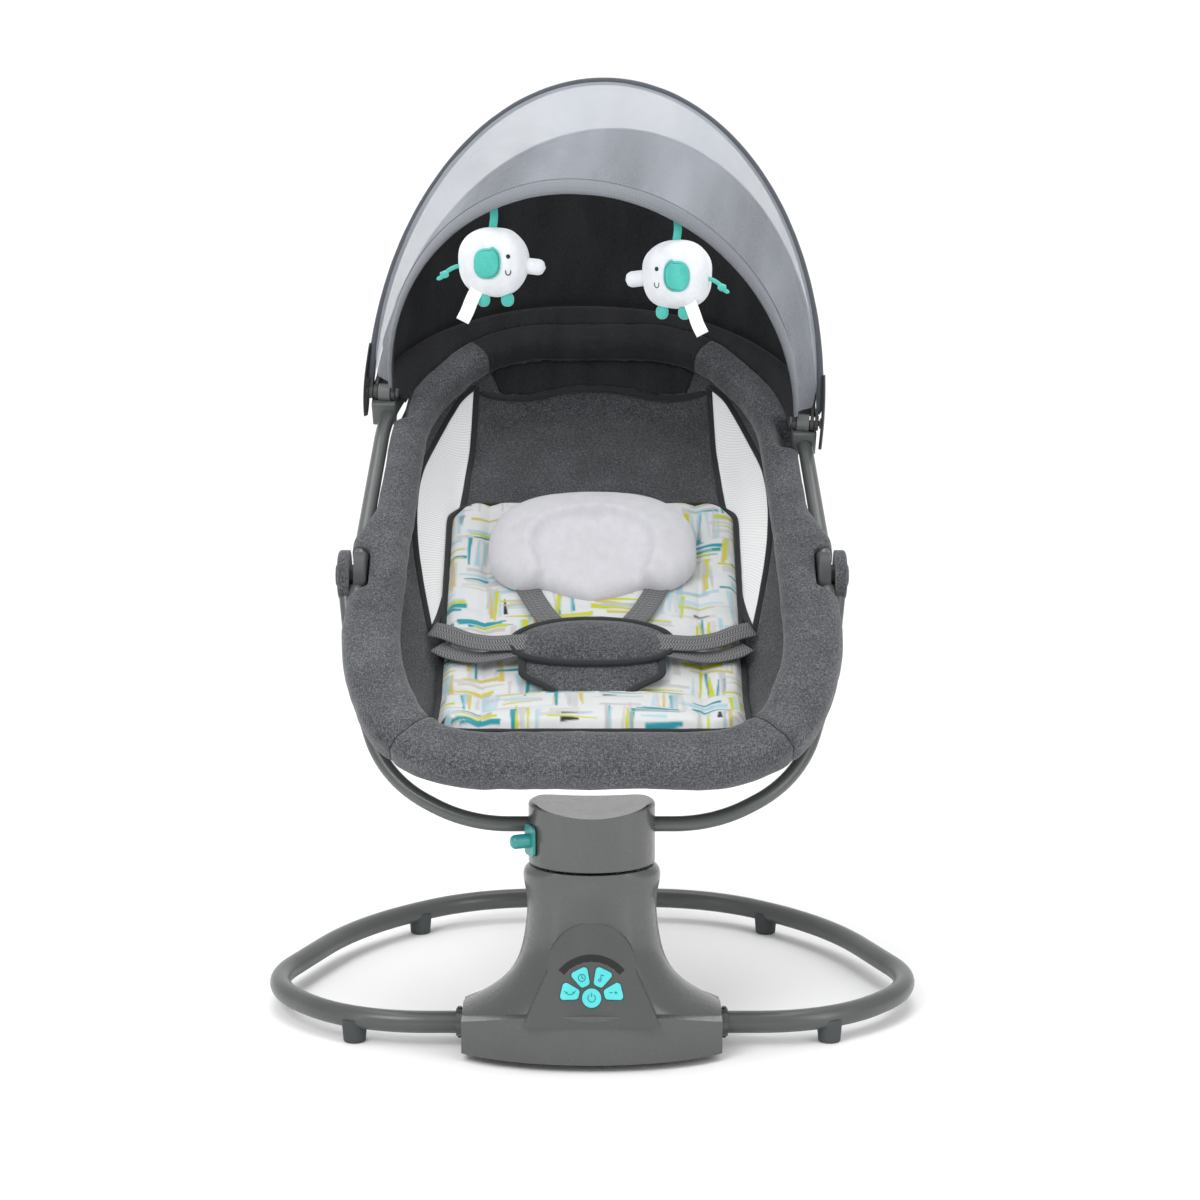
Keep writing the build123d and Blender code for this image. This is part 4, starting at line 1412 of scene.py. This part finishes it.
# ---- toys
def blob(name, centre, radii, square=0.9, turn=None, puff=0.0, seed=0, fine=28):
    """A stuffed ball, radii in mm, squarer as square gets smaller."""
    rows = []
    turn = turn or Matrix.Identity(3)
    for a in range(fine + 1):
        lat = math.pi * (a / fine - 0.5)
        row = []
        for b in range(2 * fine):
            lon = math.pi * b / fine
            d = Vector((power(math.cos(lat), square) * power(math.cos(lon), square),
                        power(math.cos(lat), square) * power(math.sin(lon), square),
                        power(math.sin(lat), square)))
            r = 1 + puff * ripple(d.x * 1.6, d.y * 1.6, d.z * 1.6, seed)
            row.append(
                Vector(centre)
                + turn @ Vector((d.x * radii[0] * r, d.y * radii[1] * r, d.z * radii[2] * r)) * MM
            )
        rows.append(row)
    return grid(name, rows, wrap_cols=True, size=(0.1, 0.1))


TOY_HALF = (35, 25, 34.5)
TOY_POWER = 2.33


def make_toy(side, s, yaw):
    body_name = f"toy_{side}"
    low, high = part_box(body_name)
    at = Vector(((low.x + high.x) / 2, (low.y + high.y) / 2, high.z))
    centre = Vector((at.x, at.y, low.z + 0.0315))
    turn = Matrix.Rotation(math.radians(yaw), 3, "Z")
    inner = -s  # towards the middle of the seat

    def spot(x, y, z):
        """A place on the toy, x towards its trunk, y to the back, z up, in mm."""
        return centre + turn @ (Vector((inner * x, y, z)) * MM)

    body = blob(f"{body_name}_body", centre, TOY_HALF, square=0.86, turn=turn, puff=0.05, seed=50 + s)
    inflate(body, pressure=1.5, frames=6, cap=1.0, bend=1.0, tension=20)
    finish_piece(body, body_name, "toy", "white_plush", body_name)

    def face_y(x, z, out=0.4):
        """The y of the body's front skin at x, z."""
        wide, deep, tall = TOY_HALF
        d = clamp(1 - (abs(x) / wide) ** TOY_POWER - (abs(z) / tall) ** TOY_POWER, 0.0, 1.0)
        return -deep * d ** (1 / TOY_POWER) * 0.985 - out

    def on_face(name, outline, key, out=0.6, thick=0.8):
        """A flat patch laid on the front of the body."""
        cx = sum(p[0] for p in outline) / len(outline)
        cz = sum(p[1] for p in outline) / len(outline)
        rows = []
        for k in range(7):
            r = k / 6
            row = []
            for x, z in outline:
                px, pz = cx + (x - cx) * r, cz + (z - cz) * r
                row.append(spot(px, face_y(px, pz, out * (1 - 0.6 * r**4)), pz))
            rows.append(row)
        ob = grid(name, rows, wrap_cols=True, size=(0.03, 0.03))
        finish_piece(ob, body_name, key, "white_plush")
        thicken(ob, thick)
        return ob

    trunk = [spot(28, -6, -3), spot(36, -8, -4), spot(44, -10, -5), spot(51, -11, -6)]
    line = curve_through(trunk, 0.0025)
    ob = sweep(f"{body_name}_trunk", line, (0, 0, 1), 15, 16, segments=20, taper=3.2)
    finish_piece(ob, body_name, "toy", "white_plush")
    ear = []
    for k in range(40):
        a = 2 * math.pi * k / 40
        corner = 2.2 if math.cos(a) > 0.3 and math.sin(a) > 0 else 0
        ear.append((-9 + 13.0 * power(math.cos(a), 0.8), -1 + 15.0 * power(math.sin(a), 0.85) + corner))
    on_face(f"{body_name}_ear", ear, "toy_teal", out=1.6, thick=1.2)
    loop = [spot(-9 + (x + 9) * 0.86, face_y(x, z, 2.0), -1 + (z + 1) * 0.86) for x, z in ear]
    ob = sweep(f"{body_name}_ear_stitch", loop, (0, -1, 0), 0.9, 0.7, closed=True, segments=8)
    finish_piece(ob, body_name, "stitch_teal", "white_plush")
    eye = [
        (12 + 2.0 * math.cos(2 * math.pi * k / 20), 6 + 2.0 * math.sin(2 * math.pi * k / 20))
        for k in range(20)
    ]
    on_face(f"{body_name}_eye", eye, "toy_dark", out=0.9, thick=0.7)
    smile = [
        (12 + 2.6 * math.cos(math.radians(a)), -9.0 + 3.4 * math.sin(math.radians(a)))
        for a in range(180, 361, 12)
    ]
    smile = [(smile[0][0], -6.6)] + smile + [(smile[-1][0], -6.6)]
    ob = sweep(
        f"{body_name}_smile", [spot(x, face_y(x, z, 0.5), z) for x, z in smile], (0, -1, 0), 1.0, 0.8,
        segments=8, taper=1
    )
    finish_piece(ob, body_name, "toy_dark", "white_plush")
    for k, x in enumerate((-11, 13)):
        foot = blob(
            f"{body_name}_foot_{k + 1}", spot(x, -7, -37.0), (6.6, 4.4, 7.2), square=0.9, turn=turn, fine=14
        )
        finish_piece(foot, body_name, "toy_teal", "white_plush")
    tail = curve_through(
        [spot(-32, -2, -3), spot(-40, -3, -5), spot(-47, -4, -9), spot(-52, -5, -14), spot(-58, -5, -17)],
        0.002
    )
    ob = sweep(f"{body_name}_tail", tail, (0, -1, 0), 4.2, 2.6, segments=12, taper=1.5, square=0.8)
    finish_piece(ob, body_name, "toy_teal", "white_plush")
    knot = blob(
        f"{body_name}_tail_knot", spot(-50, -5, -12), (4.2, 3.2, 3.4), turn=turn, fine=12, puff=0.3, seed=3
    )
    finish_piece(knot, body_name, "toy_teal", "white_plush")
    tag = curve_through(
        [spot(-17, -10, -25), spot(-23, -13, -36), spot(-28, -14, -48), spot(-33, -13, -58)], 0.003
    )
    ob = ribbon(f"{body_name}_tag", tag, turn @ Vector((0, -1, 0)), 13.5, 0.6)
    finish_piece(ob, body_name, "label", "white_plush")
    hang = [
        at + Vector((0, 0, 0.004)), at + Vector((0.0006, 0, -0.008)),
        at + Vector((-0.0006, 0, -0.018)), centre + Vector((0, 0, 0.031))
    ]
    ob = ribbon(f"{body_name}_ribbon", curve_through(hang, 0.003), (0, -1, 0), 8.0, 1.0)
    finish_piece(ob, body_name, "toy_teal", "white_plush")


make_toy("left", -1, 8)
make_toy("right", 1, -24)


# ---- marks on the buttons and the display
def panel_at(x, y, z):
    return PANEL @ (Vector((x, y, z)) * MM)


def mark(name, body, lines, wide=0.75, key="icon", z=1.95):
    """Thin raised lines on a button's face, each a list of (x, y) in mm."""
    verts, faces = [], []
    for line in lines:
        pts = [panel_at(x, y, z) for x, y in line]
        ring = []
        for p, (along, side, top) in zip(pts, frames_along(pts, PANEL.to_3x3() @ Vector((0, 0, 1)))):
            base = len(verts)
            for k in range(8):
                a = 2 * math.pi * k / 8
                verts.append(p + side * (wide / 2 * MM * math.cos(a)) + top * (0.18 * MM * math.sin(a)))
            ring.append(base)
        for b0, b1 in zip(ring, ring[1:]):
            for k in range(8):
                faces.append((b0 + k, b0 + (k + 1) % 8, b1 + (k + 1) % 8, b1 + k))
        faces.append(tuple(reversed(range(ring[0], ring[0] + 8))))
        faces.append(tuple(range(ring[-1], ring[-1] + 8)))
    ob = mesh_piece(name, verts, faces)
    return finish_piece(ob, body, key, "teal_button")


def arc(cx, cy, r, a0, a1, n=24):
    return [
        (
            cx + r * math.cos(math.radians(mix(a0, a1, k / n))),
            cy + r * math.sin(math.radians(mix(a0, a1, k / n)))
        )
        for k in range(n + 1)
    ]


mark("icon_power", "button_power", [arc(0, 0, 3.6, 125, 415), [(0, 1.2), (0, 5.0)]])


PETAL_RADIUS = 21.4
DISPLAY_RADIUS = 34.3


def petal_spot(angle):
    a = math.radians(angle)
    return PETAL_RADIUS * math.cos(a), PETAL_RADIUS * math.sin(a)


x, y = petal_spot(166)
mark(
    "icon_swing",
    "button_swing",
    [
        arc(x, y + 3.6, 5.4, 220, 320),
        [(x - 5.3, y + 1.6), (x - 4.1, y + 0.1), (x - 2.4, y + 0.6)],
        [(x + 5.3, y + 1.6), (x + 4.1, y + 0.1), (x + 2.4, y + 0.6)]
    ]
)
x, y = petal_spot(116)
mark(
    "icon_timer",
    "button_timer",
    [arc(x, y, 3.3, 0, 359), [(x, y), (x, y + 2.2)], [(x, y), (x + 1.6, y - 0.8)]]
)
x, y = petal_spot(64)
mark(
    "icon_music",
    "button_music",
    [
        arc(x - 1.6, y - 2.2, 1.2, 0, 359, 12), [(x - 0.4, y - 2.2), (x - 0.4, y + 3.0)],
        [(x - 0.4, y + 3.0), (x + 2.4, y + 2.0)]
    ]
)
x, y = petal_spot(14)
mark(
    "icon_volume",
    "button_volume",
    [[(x - 3.6, y), (x - 0.8, y)], [(x + 1.0, y), (x + 3.8, y)], [(x + 2.4, y - 1.4), (x + 2.4, y + 1.4)]]
)
dots = []
for k in range(7):
    a = math.radians(mix(128, 52, k / 6))
    cx, cy = DISPLAY_RADIUS * math.cos(a), DISPLAY_RADIUS * math.sin(a)
    dots.append([(cx - 0.5, cy), (cx + 0.5, cy)])
top_of_display = max(
    (PANEL.inverted() @ v.co).z / MM for v in NODES["display_window"].data.vertices
)
mark("display_dots", "base", dots, wide=1.0, key="led", z=top_of_display + 0.05)

# ---- floor, backdrop, light and camera
def stage_floor():
    rows = []
    for a in range(25):
        t = a / 24
        if t < 0.5:
            y, z = mix(-4.0, 2.2, t * 2), 0.0
        else:
            b = (t - 0.5) * 2
            y, z = 2.2 + 1.4 * math.sin(b * math.pi / 2), 1.4 * (
                1 - math.cos(b * math.pi / 2)
            ) + 2.6 * smooth(b, 0.85, 1.0)
        rows.append([Vector((x, y, z)) for x in (-6, -3, 0, 3, 6)])
    ob = grid("studio_floor", rows)
    s = Shade("studio_paper", rough=0.9, spec=0.1)
    s.colour(s.ramp(s.noise(3, 2), [(0.2, tone(250, 250, 250)), (0.8, tone(253, 253, 253))]))
    ob.data.materials.append(s.material)


stage_floor()
world = bpy.context.scene.world or bpy.data.worlds.new("studio")
bpy.context.scene.world = world
world.use_nodes = True
background = world.node_tree.nodes["Background"]
background.inputs["Color"].default_value = (1.0, 1.0, 1.0, 1.0)
background.inputs["Strength"].default_value = 0.72
bpy.context.scene.view_settings.view_transform = "Standard"


def light(name, where, at, size, watts):
    data = bpy.data.lights.new(name, "AREA")
    data.shape = "RECTANGLE"
    data.size, data.size_y = size
    data.energy = watts
    ob = bpy.data.objects.new(name, data)
    bpy.context.scene.collection.objects.link(ob)
    ob.location = where
    ob.rotation_euler = (Vector(at) - Vector(where)).to_track_quat("-Z", "Y").to_euler()


light("key_light", (-1.5, -2.2, 2.6), (0, 0, 0.5), (1.4, 1.4), 44)
light("fill_light", (2.2, -1.8, 1.6), (0, 0, 0.5), (1.2, 2.0), 18)
light("left_strip", (-1.3, -1.1, 0.45), (0, 0, 0.25), (0.14, 1.1), 1.5)
light("right_strip", (1.3, -1.1, 0.45), (0, 0, 0.25), (0.14, 1.1), 1.5)
light("top_light", (0, 0.2, 3.0), (0, 0, 0.3), (2.4, 2.4), 46)

data = bpy.data.cameras.new("camera")
data.lens = 78
data.sensor_width = 36
camera = bpy.data.objects.new("camera", data)
bpy.context.scene.collection.objects.link(camera)
camera.location = (0.008, -2.704, 0.835)
camera.rotation_euler = (math.radians(90 - 8.9), 0, 0)
bpy.context.scene.camera = camera
